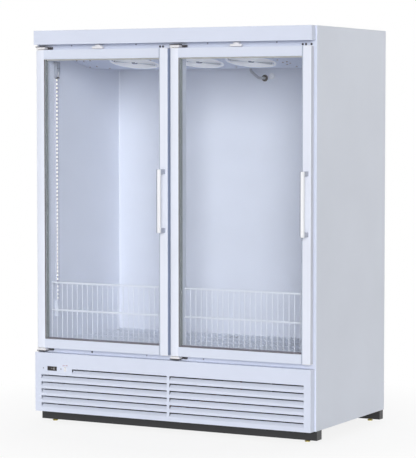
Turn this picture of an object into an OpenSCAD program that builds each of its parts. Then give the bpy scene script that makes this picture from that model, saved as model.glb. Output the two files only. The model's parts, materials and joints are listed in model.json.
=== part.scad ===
// Two-door ice merchandiser freezer: insulated cabinet, hinged glass doors,
// bottom-mounted condensing unit and a ceiling evaporator with three fans.
// Millimetres. X runs across the front, Y runs from front to back, Z is up.
// The origin is on the floor, at the middle of the footprint.

/* [Cabinet] */
// Width of the insulated cabinet
body_w = 1440; // [1300:10:1700]
// Height from the floor to the top panel
total_h = 1832; // [1650:1:2050]
// Depth of the insulated cabinet, without header, doors and handles
body_d = 758; // [680:1:860]
// How far the header and the louver panel stand in front of the cabinet face
face_reach = 43; // [43:1:55]
// Thickness of the insulated side walls
side_wall = 50; // [42:1:56]
// Thickness of the insulated back wall
back_wall = 92; // [60:1:110]
// Thickness of the insulated ceiling
ceiling_wall = 54; // [45:1:65]
// Thickness of the insulated floor
floor_wall = 50; // [40:1:55]
// Thickness of the outer steel skins
skin_t = 1.2; // [0.8:0.1:2]
// Thickness of the inner liner sheets
liner_t = 1; // [0.8:0.1:2]

/* [Front] */
// Height of the header above the doors
header_h = 65; // [55:1:80]
// Height of the louver panel under the doors
panel_h = 277; // [265:1:300]
// How far the header and the louver panel stop short of each side
end_inset = 7; // [2:1:15]
// Gap between the header and the doors
top_gap = 24; // [22:1:30]
// Gap between the doors and the louver panel
low_gap = 21; // [20:1:30]
// Thickness of the painted front sheets
sheet_t = 1.5; // [1:0.1:2]
// Width of the post between the doors
mullion_w = 90; // [84:1:100]
// Depth of the post between the doors
mullion_d = 50; // [35:1:60]
// Height of the door opening's sill above the liner floor
sill_h = 12; // [8:1:20]
// Height of the strip of cabinet face above the door opening, under the header
lintel_h = 56; // [52:1:60]
// Depth of the plastic strips that line the door opening
breaker_d = 30; // [20:1:36]
// Thickness of the plastic strips that line the door opening
breaker_t = 3; // [2:0.5:4]

/* [Louvers] */
// Pitch of the louver rows
louver_pitch = 33.1; // [30:0.1:36]
// Height of each louver slot
slot_h = 21; // [16:0.5:24]
// Distance from the panel's lower edge to the lowest slot
slot_base = 20; // [14:1:26]
// Number of louver rows
slot_rows = 6; // [3:1:6]
// Plain margin at the outer ends of the louvers
slot_margin = 34; // [24:1:50]
// Width of the plain strip between the two louver groups
slot_divider = 14; // [8:1:30]
// How much shorter the top left slot is, to make room for the controls
control_room = 168; // [150:1:220]
// How far each louver blade leans back into the cabinet
blade_lean = 12; // [8:1:22]
// Thickness of the louver blades
blade_t = 1.5; // [1:0.1:2.5]

/* [Doors] */
// Gap between the two doors
door_gap = 10; // [8:1:16]
// Distance from the cabinet's side to the edge of a door
door_inset = 12; // [10:1:16]
// How far the doors sit behind the front of the header
door_setback = 5; // [3:1:8]
// Thickness of the door frames
door_t = 32; // [30:1:34]
// Width of the stile on the hinge side
hinge_stile_w = 46; // [40:1:56]
// Width of the stile on the handle side
handle_stile_w = 43; // [40:1:56]
// Height of the door's top and bottom rails
rail_face_h = 44; // [40:1:56]
// Radius of the rounded front corner of the hinge stile
stile_r = 14; // [6:1:18]
// Thickness of each glass pane
glass_t = 4; // [3:0.5:5]
// Gap between the two panes
pane_gap = 12; // [8:1:13]
// Thickness of the lip in front of the glass
lip_t = 4; // [3:0.5:5]
// How far the glass reaches under the lip
glass_seat = 8; // [6:0.5:12]
// How far the grey inner profile shows inside the lip
profile_show = 6; // [5:1:16]
// Width of the door gasket
gasket_w = 14; // [10:1:16]
// Distance from the door's edge to the gasket
gasket_inset = 14; // [12:1:16]

/* [Handles] */
// Length of the handle bar
handle_l = 286; // [220:1:420]
// Height of the handle's lower end above the door's lower edge
handle_rise = 560; // [300:1:800]
// Width of the handle bar
handle_w = 19; // [14:1:24]
// Thickness of the handle bar
handle_t = 12; // [8:1:16]
// Gap behind the handle bar for the fingers
finger_gap = 40; // [30:1:50]
// Distance from the door's free edge to the middle of the handle
handle_inset = 19; // [14:1:24]
// Height of each handle bracket
bracket_s = 20; // [14:1:26]

/* [Hinges] */
// Diameter of the hinge pins
pin_d = 10; // [8:0.5:12]
// Distance from the door's edge to the hinge axis
pin_inset = 12; // [11:0.5:14]
// Depth of the hinge axis behind the door's front
pin_depth = 15; // [14:0.5:16]
// Distance from a door's hinge edge to the middle of its switch block
switch_from_hinge = 330; // [310:1:350]
// Distance from a door's hinge edge to the first screw over it
lintel_screw_near = 176; // [150:1:200]
// Distance from a door's free edge to the second screw over it
lintel_screw_far = 183; // [160:1:200]
// Distance from the left door's hinge edge to the first screw under it
sill_screw_near = 281; // [260:1:300]
// Distance from the left door's free edge to the second screw under it
sill_screw_far = 130; // [100:1:150]
// Distance from the right door's hinge edge to the screw under it
sill_screw_right = 155; // [130:1:180]
// How far each pin enters the door
pin_reach = 20; // [14:1:26]
// Radial clearance round a hinge pin
pin_clear = 0.05; // [0.02:0.01:0.1]
// Outer diameter of the bushes in the hinge stile
bush_d = 18; // [14:0.5:20]
// Width of the white hinge covers
cover_w = 45; // [36:1:50]
// Height of the white hinge covers
cover_h = 10; // [6:0.5:12]

/* [Controls] */
// Distance from the left end of the louver panel to the display
display_offset = 68; // [60:1:80]
// Width of the display
display_w = 51; // [40:1:60]
// Height of the display
display_h = 20; // [16:1:24]
// Distance from the left end of the louver panel to the middle of the switch
switch_offset = 165; // [150:1:175]
// Height of the controls above the louver panel's lower edge
control_z = 204; // [200:1:210]
// Width of the switch bezel
switch_w = 13; // [12:0.5:18]
// Height of the switch bezel
switch_h = 21; // [20:0.5:26]

/* [Base] */
// Height of the levelling feet under the rails
foot_h = 10; // [8:1:20]
// Height of the black base rails
rail_h = 44; // [36:1:60]
// Depth of the front base rail
front_rail_d = 51; // [44:1:110]
// Depth of the rear base rail
rear_rail_d = 40; // [36:1:100]
// How far the front rail sits behind the front of the header
rail_setback = 62; // [50:1:90]
// How far the rails stop short of each side
rail_inset = 5; // [2:1:30]
// Thickness of the rail sheet
rail_t = 3; // [2:0.5:4]
// Distance from a rail's end to the foot nearest it
foot_inset = 57; // [40:1:90]
// Diameter of the foot pads
pad_d = 25; // [22:1:36]
// Diameter of the threaded foot stems
stem_d = 12; // [8:1:16]
// Radial clearance round a foot stem
stem_clear = 0.1; // [0.05:0.05:0.4]

/* [Evaporator] */
// Height of the evaporator cover's front edge under the liner ceiling
cover_drop = 68; // [60:1:80]
// How much lower the rear part of the evaporator cover is
cover_slope = 47; // [30:1:60]
// Depth from the front of the header to where the cover starts to slope
slope_start = 210; // [190:1:230]
// Depth of the sloped part of the cover
slope_run = 238; // [236:1:250]
// Place of the left fan, from the middle of the cabinet
fan_x_left = -361; // [-420:1:-300]
// Place of the middle fan
fan_x_mid = -16; // [-40:1:0]
// Place of the right fan
fan_x_right = 254; // [240:1:420]
// Diameter of the evaporator fans
evap_fan_d = 196; // [160:1:200]
// Outer diameter of the round fan guards
guard_d = 238; // [225:1:239]
// Diameter of the guard and rack wires
wire_d = 4; // [3:0.5:5]

/* [Interior] */
// Pitch of the upright fence wires
fence_pitch = 27; // [20:1:40]
// Height of the retainer fence above the liner floor
fence_h = 288; // [180:1:400]
// Height of the fence's middle rail above the liner floor
fence_mid = 151; // [90:1:170]
// Thickness of the fence's level rails
fence_rail = 8; // [5:0.5:10]
// Depth of the fence behind the cabinet face
fence_setback = 23; // [6:1:24]
// Depth of the light bars behind the cabinet face
light_setback = 79; // [60:1:90]
// Gap between the rack or fence ends and the liner
rack_clear = 8; // [4:1:20]
// Height of the floor racks above the liner floor
rack_h = 12; // [8:1:20]
// Width of the light bars
bar_w = 14; // [12:1:18]
// Height of the lower end of the light bars above the liner floor
bar_low = 194; // [120:1:300]
// Length of a light bar's holders
holder_l = 75; // [60:1:90]
// How far a light bar's holders stand out from the wall
holder_w = 18; // [16:1:24]

/* [Machine compartment] */
// Width of the condenser coil
condenser_w = 420; // [360:10:480]
// Height of the condenser coil
condenser_h = 214; // [180:1:225]
// Depth of the condenser coil
condenser_d = 54; // [40:1:70]
// Diameter of the condenser fan
condenser_fan_d = 190; // [150:1:200]
// Diameter of the compressor's shell
compressor_d = 170; // [140:1:190]
// Height of the compressor's shell
compressor_h = 190; // [150:1:200]
// Diameter of the refrigerant pipes
pipe_d = 9.5; // [6:0.5:12]

/* [Hidden] */
$fn = 48;

// Cabinet levels
base_z = foot_h + rail_h;
panel_top = base_z + panel_h;
door_z = panel_top + low_gap;
header_z = total_h - header_h;
door_top = header_z - top_gap;
door_h = door_top - door_z;
floor_rise = 20;
floor_z = door_z + floor_rise;
sill_z = floor_z + sill_h;
opening_top = header_z - lintel_h;
floor_under = floor_z - floor_wall;
ceiling_z = total_h - ceiling_wall;

// Cabinet widths
half_w = body_w / 2;
inner_half = half_w - side_wall;
frame_half = half_w - skin_t;
panel_half = half_w - end_inset;

// Cabinet depths, measured back from the front of the header
face_y = face_reach;
rear_y = face_y + body_d;
inner_back = rear_y - back_wall;
breaker_end = face_y + sheet_t + breaker_d;
handle_front = door_setback - finger_gap - handle_t;
mid_y = (handle_front + rear_y) / 2;

// Doors
door_w = (body_w - 2 * door_inset - door_gap) / 2;
left_door_x = -half_w + door_inset;
right_door_x = door_gap / 2;
door_back = door_setback + door_t;
glass_y = door_setback + lip_t;
unit_t = 2 * glass_t + pane_gap;
profile_y = glass_y + unit_t;
seal_clear = 0.3;
glass_clear = 0.5;
seam = 0.05;
cut_over = 1;
handle_stile_r = 3;
opening_x = hinge_stile_w;
opening_w = door_w - hinge_stile_w - handle_stile_w;
opening_h = door_h - 2 * rail_face_h;
pin_y = door_setback + pin_depth;
hinge_xs = [left_door_x + pin_inset, right_door_x + pin_inset];
handle_z = door_z + handle_rise;
handle_y = door_setback - finger_gap;

// Evaporator cover
cover_z = ceiling_z - cover_drop;
slope_end = slope_start + slope_run;
slope_angle = atan2(cover_slope, slope_run);
fan_y = slope_start + slope_run / 2;
fan_z = cover_z - cover_slope / 2;
fan_xs = [fan_x_left, fan_x_mid, fan_x_right];
blade_tip_gap = 6;
blade_gap = 6;
shroud_hole_d = evap_fan_d + 2 * blade_tip_gap;
fan_depth = 24;

// Machine compartment
deck_top = base_z + skin_t;
condenser_inset = 250;
condenser_x = -half_w + condenser_inset;
condenser_gap = 26;
condenser_y = face_y + condenser_gap;
condenser_rise = 14;
condenser_z = deck_top + condenser_rise;
shroud_y = condenser_y + condenser_d;
shroud_d = 60;
condenser_mid_x = condenser_x + condenser_w / 2;
condenser_mid_z = condenser_z + condenser_h / 2;
compressor_x = condenser_mid_x;
compressor_y = 560;
grommet_h = 14;
compressor_z = deck_top + grommet_h;
compressor_plate = 4;
compressor_top = compressor_z + compressor_plate + compressor_h;

// Places everything, measured from the front of the header, round the footprint's middle
module placed() translate([0, -mid_y, 0]) children();

// Box from its lowest to its highest corner
module span_box(low, high) translate(low) cube(high - low);

// Sheet that stands across the cabinet: its outline is in x and z
module upright_sheet(y, t) translate([0, y + t, 0]) rotate([90, 0, 0]) linear_extrude(t) children();

// Prism along x: its outline is in y and z
module across(x, length) translate([x, 0, 0]) rotate([90, 0, 90]) linear_extrude(length) children();

module rect(low, high) translate(low) square(high - low);

// Rod along y
module rod_y(x, y, z, d, length) translate([x, y, z]) rotate([-90, 0, 0]) cylinder(d = d, h = length);

// Rod along x
module rod_x(x, y, z, d, length) translate([x, y, z]) rotate([0, 90, 0]) cylinder(d = d, h = length);

// Screw with its head on the front of a sheet whose face is at y
screw_head_d = 8;
screw_head_t = 1.6;
screw_shank_d = 3.6;
screw_shank_l = 8;
module screw_y(x, y, z) {
    rod_y(x, y - screw_head_t, z, screw_head_d, screw_head_t);
    rod_y(x, y, z, screw_shank_d, screw_shank_l);
}
module screw_hole_y(x, y, z) rod_y(x, y - cut_over, z, screw_shank_d, screw_shank_l + 2 * cut_over);

// ---------------------------------------------------------------- cabinet shell

module side_panel(side) {
    x = side < 0 ? -half_w : half_w - skin_t;
    span_box([x, face_y, base_z], [x + skin_t, rear_y, total_h - skin_t]);
}

module side_panel_left() color("#c6cad6") placed() side_panel(-1);

module side_panel_right() color("#c6cad6") placed() side_panel(1);

module top_panel() color("#d9def0") placed()
    span_box([-half_w, face_y, total_h - skin_t], [half_w, rear_y, total_h]);

module back_panel() color("#b9bdc8") placed()
    span_box([-frame_half, rear_y - skin_t, floor_under], [frame_half, rear_y, total_h - skin_t]);

module insulation() color("#e8dcae") placed() {
    front = face_y + sheet_t;
    back = inner_back + liner_t;
    top = total_h - skin_t;
    wall_x = inner_half + liner_t;
    strip_x = inner_half + breaker_t;
    for (side = [0, 1]) mirror([side, 0, 0]) difference() {
        span_box([wall_x, front, floor_under + skin_t], [frame_half, rear_y - skin_t, top]);
        span_box([wall_x - cut_over, front - cut_over, sill_z - breaker_t],
                 [strip_x, breaker_end, opening_top + breaker_t]);
    }
    span_box([-wall_x, back, floor_under + skin_t], [wall_x, rear_y - skin_t, top]);
    span_box([-wall_x, front, ceiling_z + liner_t], [wall_x, back, top]);
    span_box([-wall_x, front, floor_under + skin_t], [wall_x, back, floor_z - liner_t]);
    span_box([-wall_x, front, opening_top + breaker_t], [wall_x, breaker_end - liner_t, ceiling_z + liner_t]);
    span_box([-wall_x, front, floor_z - liner_t], [wall_x, breaker_end - breaker_t, sill_z - breaker_t]);
    core_x = post_x - sheet_t;
    span_box([-core_x, face_y + sheet_t, sill_z], [core_x, post_back - sheet_t, post_top]);
}

// Five sheets: two sides, back, floor and ceiling, and the drop behind the lintel
module liner() color("#dfe3ee") placed() {
    wall_x = inner_half + liner_t;
    low = floor_z - liner_t;
    high = ceiling_z + liner_t;
    back = inner_back - seam;
    edge_x = inner_half - seam;
    for (side = [0, 1]) mirror([side, 0, 0])
        span_box([inner_half, breaker_end, low], [wall_x, back, high]);
    span_box([-wall_x, inner_back, low], [wall_x, inner_back + liner_t, high]);
    span_box([-edge_x, breaker_end, low], [edge_x, back, floor_z]);
    span_box([-edge_x, breaker_end + seam, ceiling_z], [edge_x, back, high]);
    span_box([-edge_x, breaker_end - liner_t, opening_top + breaker_t], [edge_x, breaker_end, high]);
}

// Front sheet of the cabinet with the door opening and the machine opening
machine_open_inset = 30;
machine_open_half = half_w - machine_open_inset;
machine_open_rise = 16;
machine_open_drop = 8;
module face_frame() color("#d9def0") placed() difference() {
    upright_sheet(face_y, sheet_t) difference() {
        rect([-frame_half, base_z], [frame_half, total_h - skin_t]);
        rect([-inner_half, sill_z], [inner_half, opening_top]);
        rect([-machine_open_half, base_z + machine_open_rise],
             [machine_open_half, floor_under - machine_open_drop]);
    }
    for (p = face_screws) screw_hole_y(p[0], face_y, p[1]);
}

// Folded post with a foam core: its face reaches the lintel, and the channel behind stops under the fan cover
post_back = face_y + mullion_d;
post_x = mullion_w / 2 - breaker_t;
post_top = min(opening_top, cover_z);
module center_mullion() color("#d9def0") placed() difference() {
    union() {
        span_box([-mullion_w / 2, face_y, sill_z], [mullion_w / 2, face_y + sheet_t, opening_top]);
        span_box([-post_x, face_y, sill_z], [post_x, post_back, post_top]);
    }
    core_x = post_x - sheet_t;
    span_box([-core_x, face_y + sheet_t, sill_z - cut_over],
             [core_x, post_back - sheet_t, post_top + cut_over]);
}

// Grey plastic strips that line the door opening and both sides of the post
module breaker_strips() color("#8e9296") placed() {
    front = face_y + sheet_t;
    for (side = [0, 1]) mirror([side, 0, 0])
        span_box([inner_half, front, sill_z - breaker_t],
                 [inner_half + breaker_t, breaker_end, opening_top + breaker_t]);
    for (side = [0, 1]) mirror([side, 0, 0])
        span_box([post_x + seam, front, sill_z + seam], [mullion_w / 2, post_back, post_top - seam]);
    edge_x = inner_half - seam;
    span_box([-edge_x, front, opening_top], [edge_x, breaker_end, opening_top + breaker_t]);
    across(-edge_x, 2 * edge_x) polygon([
        [front, sill_z - breaker_t], [breaker_end - breaker_t, sill_z - breaker_t],
        [breaker_end - breaker_t, floor_z], [breaker_end, floor_z],
        [breaker_end, sill_z], [front, sill_z]]);
}

module header() color("#dde2f2") placed() difference() {
    span_box([-panel_half, 0, header_z], [panel_half, face_y, total_h]);
    span_box([-panel_half + sheet_t, sheet_t, header_z + sheet_t],
             [panel_half - sheet_t, face_y + cut_over, total_h - sheet_t]);
}

// ---------------------------------------------------------------- louver panel

// Low corner and length of each slot: a left and a right group, the top left one short
slot_len = panel_half - slot_margin - slot_divider / 2;
slots = [for (row = [0 : slot_rows - 1]) for (side = [-1, 1])
    let (short = side < 0 && row == slot_rows - 1 ? control_room : 0,
         x = side < 0 ? -slot_divider / 2 - slot_len + short : slot_divider / 2)
    [x, base_z + slot_base + row * louver_pitch, slot_len - short]];

blade_top_gap = 6;
module louver_blade(slot) {
    rise = slot_h - blade_top_gap;
    across(slot[0], slot[2]) polygon([
        [0, slot[1]], [sheet_t, slot[1] - blade_t / 2],
        [sheet_t + blade_lean, slot[1] + rise],
        [sheet_t + blade_lean - blade_t, slot[1] + rise + blade_t / 2]]);
}

display_x = -panel_half + display_offset;
switch_x = -panel_half + switch_offset;
display_z = base_z + control_z - display_h / 2;
display_rim = 2;
switch_z = base_z + control_z;
fit_clear = 0.4;
bezel_lip = 1;

module louver_panel() color("#dde2f2") placed() difference() {
    union() {
        upright_sheet(0, sheet_t) difference() {
            rect([-panel_half, base_z], [panel_half, panel_top]);
            for (s = slots) rect([s[0], s[1]], [s[0] + s[2], s[1] + slot_h]);
        }
        for (s = slots) louver_blade(s);
        difference() {
            span_box([-panel_half, sheet_t, base_z], [panel_half, face_y, panel_top]);
            span_box([-panel_half + sheet_t, 0, base_z + sheet_t],
                     [panel_half - sheet_t, face_y + cut_over, panel_top - sheet_t]);
        }
    }
    span_box([display_x + display_rim - fit_clear, -cut_over, display_z + display_rim - fit_clear],
             [display_x + display_w - display_rim + fit_clear, sheet_t + cut_over,
              display_z + display_h - display_rim + fit_clear]);
    body_half = [switch_w / 2 - bezel_lip + fit_clear, switch_h / 2 - bezel_lip + fit_clear];
    span_box([switch_x - body_half[0], -cut_over, switch_z - body_half[1]],
             [switch_x + body_half[0], sheet_t + cut_over, switch_z + body_half[1]]);
    for (p = panel_screws) screw_hole_y(p[0], 0, p[1]);
}

display_proud = 1.5;
display_body_d = 58;
module control_display() color("#17181c") placed() {
    span_box([display_x, -display_proud, display_z], [display_x + display_w, 0, display_z + display_h]);
    span_box([display_x + display_rim, 0, display_z + display_rim],
             [display_x + display_w - display_rim, display_body_d, display_z + display_h - display_rim]);
}

// Rocker switch: the rocker turns on pins that sit in the side walls of the bezel's pocket
bezel_proud = 1.2;
bezel_body_d = 22;
pocket_floor = 5;
pocket_clear = 0.4;
rocker_side = 2.5;
rocker_w = switch_w - 2 * rocker_side;
rocker_half_h = 7.2;
rocker_end_clear = 1.3;
rocker_tilt = 7;
rocker_y = 5;
rocker_nose = 6.6;
rocker_dip = 1;
rocker_heel = 3;
heel_half_h = 2;
rocker_pin_d = 2.4;
rocker_pin_reach = 1.2;
module switch_bezel() color("#f2f2f0") placed() difference() {
    union() {
        span_box([switch_x - switch_w / 2, -bezel_proud, switch_z - switch_h / 2],
                 [switch_x + switch_w / 2, 0, switch_z + switch_h / 2]);
        body_half = [switch_w / 2 - bezel_lip, switch_h / 2 - bezel_lip];
        span_box([switch_x - body_half[0], 0, switch_z - body_half[1]],
                 [switch_x + body_half[0], bezel_body_d, switch_z + body_half[1]]);
    }
    pocket_half = [rocker_w / 2 + pocket_clear, rocker_half_h + rocker_end_clear];
    span_box([switch_x - pocket_half[0], -bezel_proud - cut_over, switch_z - pocket_half[1]],
             [switch_x + pocket_half[0], rocker_y + pocket_floor, switch_z + pocket_half[1]]);
    rod_x(switch_x - switch_w / 2, rocker_y, switch_z, rocker_pin_d + 2 * pin_clear, switch_w);
}

module rocker_switch() color("#f7f7f5") placed()
    translate([0, rocker_y, switch_z]) rotate([rocker_tilt, 0, 0]) {
        across(switch_x - rocker_w / 2, rocker_w) polygon([
            [rocker_dip - rocker_nose, 0], [-rocker_nose, rocker_half_h], [-rocker_dip, rocker_half_h],
            [rocker_heel, heel_half_h], [rocker_heel, -heel_half_h],
            [-rocker_dip, -rocker_half_h], [-rocker_nose, -rocker_half_h]]);
        pin_l = rocker_w + 2 * rocker_pin_reach;
        rod_x(switch_x - pin_l / 2, 0, 0, rocker_pin_d, pin_l);
    }

// ---------------------------------------------------------------- base

rail_half = half_w - rail_inset;
rear_rail_y = rear_y - rear_rail_d;
foot_x = rail_half - foot_inset;
front_foot_y = rail_setback + front_rail_d / 2;
rear_foot_y = rear_rail_y + rear_rail_d / 2;
foot_spots = [[-foot_x, front_foot_y], [foot_x, front_foot_y], [-foot_x, rear_foot_y], [foot_x, rear_foot_y]];
foot_plate = 48;

// Folded channel, open underneath, with a nut plate for each foot
module base_rail(y, depth) {
    difference() {
        span_box([-rail_half, y, foot_h], [rail_half, y + depth, base_z]);
        span_box([-rail_half + rail_t, y + rail_t, foot_h - cut_over],
                 [rail_half - rail_t, y + depth - rail_t, base_z - rail_t]);
    }
    for (side = [-1, 1]) difference() {
        span_box([side * foot_x - foot_plate / 2, y + rail_t, foot_h],
                 [side * foot_x + foot_plate / 2, y + depth - rail_t, foot_h + rail_t]);
        translate([side * foot_x, y + depth / 2, 0])
            cylinder(d = stem_d + 2 * stem_clear, h = base_z);
    }
}

module base_rails() color("#2c2c2e") placed() {
    base_rail(rail_setback, front_rail_d);
    base_rail(rear_rail_y, rear_rail_d);
}

// Deck that carries the condensing unit, and the sheet over it under the floor insulation
module compartment_sheets() color("#aeb2b8") placed() for (z = [base_z, floor_under])
    span_box([-frame_half, face_y + sheet_t, z], [frame_half, rear_y - skin_t, z + skin_t]);

// Levelling foot: pad, hexagon and stem, just clear of the rail above the hexagon
foot_gap = 0.3;
hex_h = 4;
hex_d = 20;
stem_top_gap = 4;
module leveling_foot(spot) translate([spot[0], spot[1], 0]) {
    cylinder(d = pad_d, h = foot_h - foot_gap - hex_h);
    translate([0, 0, foot_h - foot_gap - hex_h]) cylinder(d = hex_d, h = hex_h, $fn = 6);
    translate([0, 0, foot_h - foot_gap]) cylinder(d = stem_d, h = rail_h - rail_t - stem_top_gap);
}

module foot_front_left() color("#b8923c") placed() leveling_foot(foot_spots[0]);

module foot_front_right() color("#b8923c") placed() leveling_foot(foot_spots[1]);

module foot_rear_left() color("#b8923c") placed() leveling_foot(foot_spots[2]);

module foot_rear_right() color("#b8923c") placed() leveling_foot(foot_spots[3]);

// Rear cover of the machine compartment, with two banks of upright air slots
vent_pitch = 26;
vent_w = 12;
vent_h = 140;
vent_rise = 50;
vents_each_way = 8;
module rear_grille() color("#a9adb6") placed() difference() {
    upright_sheet(rear_y - skin_t, skin_t) difference() {
        rect([-frame_half, base_z], [frame_half, floor_under]);
        for (bank = [-1, 1]) for (i = [-vents_each_way : vents_each_way]) {
            x = bank * frame_half / 2 + i * vent_pitch;
            rect([x - vent_w / 2, base_z + vent_rise], [x + vent_w / 2, base_z + vent_rise + vent_h]);
        }
    }
    rod_y(inlet_x, rear_y - 2 * skin_t, inlet_z, inlet_d + 2 * fit_clear, 3 * skin_t);
}

// Cable inlet in the rear grille: a flanged sleeve with an open bore
inlet_inset = 90;
inlet_rise = 26;
inlet_x = half_w - inlet_inset;
inlet_z = base_z + inlet_rise;
inlet_d = 22;
inlet_bore = 11;
inlet_l = 26;
flange_d = 32;
flange_t = 5;
module power_inlet() color("#202124") placed() difference() {
    union() {
        rod_y(inlet_x, rear_y - inlet_l, inlet_z, inlet_d, inlet_l);
        rod_y(inlet_x, rear_y - skin_t - flange_t, inlet_z, flange_d, flange_t);
    }
    rod_y(inlet_x, rear_y - inlet_l - cut_over, inlet_z, inlet_bore, inlet_l + 2 * cut_over);
}

// ---------------------------------------------------------------- condensing unit

compressor_base = [200, 164];
bolt_reach = [80, 65];
bolt_hole_d = 14;
dome_flat = 0.55;
terminal_reach = 34;
terminal_w = 64;
terminal_h = 70;
terminal_rise = 60;
compressor_feet = [for (sx = [-1, 1]) for (sy = [-1, 1])
    [compressor_x + sx * bolt_reach[0], compressor_y + sy * bolt_reach[1]]];

// Half section of the shell: a rounded bottom, a straight wall and a flattened dome
shell_low = 0.35;
module shell_section(r) intersection() {
    wall_low = r * shell_low;
    wall_h = compressor_h - r * (shell_low + dome_flat);
    translate([0, wall_low]) union() {
        intersection() {
            circle(r = r);
            translate([0, -r]) square([r, r]);
        }
        square([r, wall_h]);
        translate([0, wall_h]) scale([1, dome_flat]) intersection() {
            circle(r = r);
            square(r);
        }
    }
    square([r, compressor_h]);
}

module compressor() color("#1b1c1e") placed() difference() {
    shell_x = compressor_x + compressor_d / 2;
    union() {
        span_box([compressor_x - compressor_base[0] / 2, compressor_y - compressor_base[1] / 2, compressor_z],
                 [compressor_x + compressor_base[0] / 2, compressor_y + compressor_base[1] / 2,
                  compressor_z + compressor_plate]);
        translate([compressor_x, compressor_y, compressor_z + compressor_plate])
            rotate_extrude($fn = 64) shell_section(compressor_d / 2);
        span_box([compressor_x, compressor_y - terminal_w / 2, compressor_z + terminal_rise],
                 [shell_x + terminal_reach, compressor_y + terminal_w / 2,
                  compressor_z + terminal_rise + terminal_h]);
    }
    for (p = compressor_feet)
        translate([p[0], p[1], compressor_z - cut_over])
            cylinder(d = bolt_hole_d, h = compressor_plate + 2 * cut_over);
}

grommet_d = 26;
grommet_cap_d = 22;
grommet_cap_t = 4;
module compressor_grommets() color("#2a2a2a") placed()
    for (p = compressor_feet) translate([p[0], p[1], deck_top]) {
        cylinder(d = grommet_d, h = grommet_h);
        translate([0, 0, grommet_h]) cylinder(d = bolt_hole_d - 2 * seal_clear, h = compressor_plate);
        translate([0, 0, grommet_h + compressor_plate]) cylinder(d = grommet_cap_d, h = grommet_cap_t);
    }

// Fin pack between two end plates, with the return bends at one side
end_plate_t = 2;
fin_inset = 4;
row_pitch = 25;
row_first = 15;
row_offset = 12;
bend_l = 14;
row_y = condenser_y + condenser_d / 2;
module condenser_coil() color("#9da3a8") placed() {
    x2 = condenser_x + condenser_w;
    top = condenser_z + condenser_h;
    span_box([condenser_x, condenser_y, deck_top], [condenser_x + end_plate_t, shroud_y, top]);
    span_box([x2 - end_plate_t, condenser_y, deck_top], [x2, shroud_y, top]);
    span_box([condenser_x + end_plate_t, condenser_y + fin_inset, condenser_z],
             [x2 - end_plate_t, shroud_y - fin_inset, top - fin_inset]);
    for (z = [condenser_z + row_first : row_pitch : top - row_first]) for (side = [-1, 1])
        rod_x(x2, row_y + side * row_offset, z, pipe_d, bend_l);
}

shroud_t = 2;
module condenser_shroud() color("#3a3c40") placed() {
    x2 = condenser_x + condenser_w;
    top = condenser_z + condenser_h;
    difference() {
        span_box([condenser_x, shroud_y, deck_top], [x2, shroud_y + shroud_d, top]);
        span_box([condenser_x + shroud_t, shroud_y - cut_over, condenser_z],
                 [x2 - shroud_t, shroud_y + shroud_d - shroud_t, top - shroud_t]);
        rod_y(condenser_mid_x, shroud_y, condenser_mid_z, condenser_fan_d + 2 * blade_tip_gap, 2 * shroud_d);
    }
}

fan_motor_d = 84;
fan_motor_l = 62;
motor_shaft_d = 8;
motor_shaft_l = 30;
motor_foot_w = 72;
motor_foot_t = 4;
motor_foot_from = 24;
motor_foot_l = 32;
fan_out = 4;
fan_plane = shroud_y + shroud_d + fan_out;
fan_to_motor = 16;
motor_y = fan_plane + fan_to_motor;
module condenser_fan_motor() color("#26282b") placed() {
    foot_y = motor_y + motor_foot_from;
    rod_y(condenser_mid_x, motor_y, condenser_mid_z, fan_motor_d, fan_motor_l);
    rod_y(condenser_mid_x, motor_y - motor_shaft_l, condenser_mid_z, motor_shaft_d, motor_shaft_l);
    difference() {
        span_box([condenser_mid_x - motor_foot_w / 2, foot_y, deck_top],
                 [condenser_mid_x + motor_foot_w / 2, foot_y + motor_foot_t, condenser_mid_z]);
        rod_y(condenser_mid_x, motor_y, condenser_mid_z, fan_motor_d, fan_motor_l);
    }
    span_box([condenser_mid_x - motor_foot_w / 2, foot_y + motor_foot_t, deck_top],
             [condenser_mid_x + motor_foot_w / 2, foot_y + motor_foot_t + motor_foot_l,
              deck_top + motor_foot_t]);
}

// Axial fan in the xy plane: hub with a shaft bore and five pitched blades
blade_sheet_t = 2;
blade_pitch = 32;
blade_chord = 0.84;
module axial_fan(d, hub_d, depth, bore, blades = 5) {
    chord = hub_d * blade_chord;
    root = hub_d / 2 - blade_sheet_t;
    difference() {
        union() {
            cylinder(d = hub_d, h = depth);
            for (i = [0 : blades - 1]) rotate([0, 0, i * 360 / blades]) intersection() {
                translate([root, 0, depth / 2]) rotate([blade_pitch, 0, 0])
                    translate([0, -chord / 2, -blade_sheet_t / 2]) cube([d / 2 - root, chord, blade_sheet_t]);
                cylinder(d = d, h = depth);
            }
        }
        translate([0, 0, -cut_over]) cylinder(d = bore, h = depth + 2 * cut_over);
    }
}

shaft_clear = 0.1;
condenser_hub_d = 58;
module condenser_fan() color("#5b6167") placed()
    translate([condenser_mid_x, fan_plane + fan_depth / 2, condenser_mid_z]) rotate([90, 0, 0])
        axial_fan(condenser_fan_d, condenser_hub_d, fan_depth, motor_shaft_d + 2 * shaft_clear);

// Round pipe corner
module pipe_corner(x, y, z, d) translate([x, y, z]) sphere(d = d);

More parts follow.
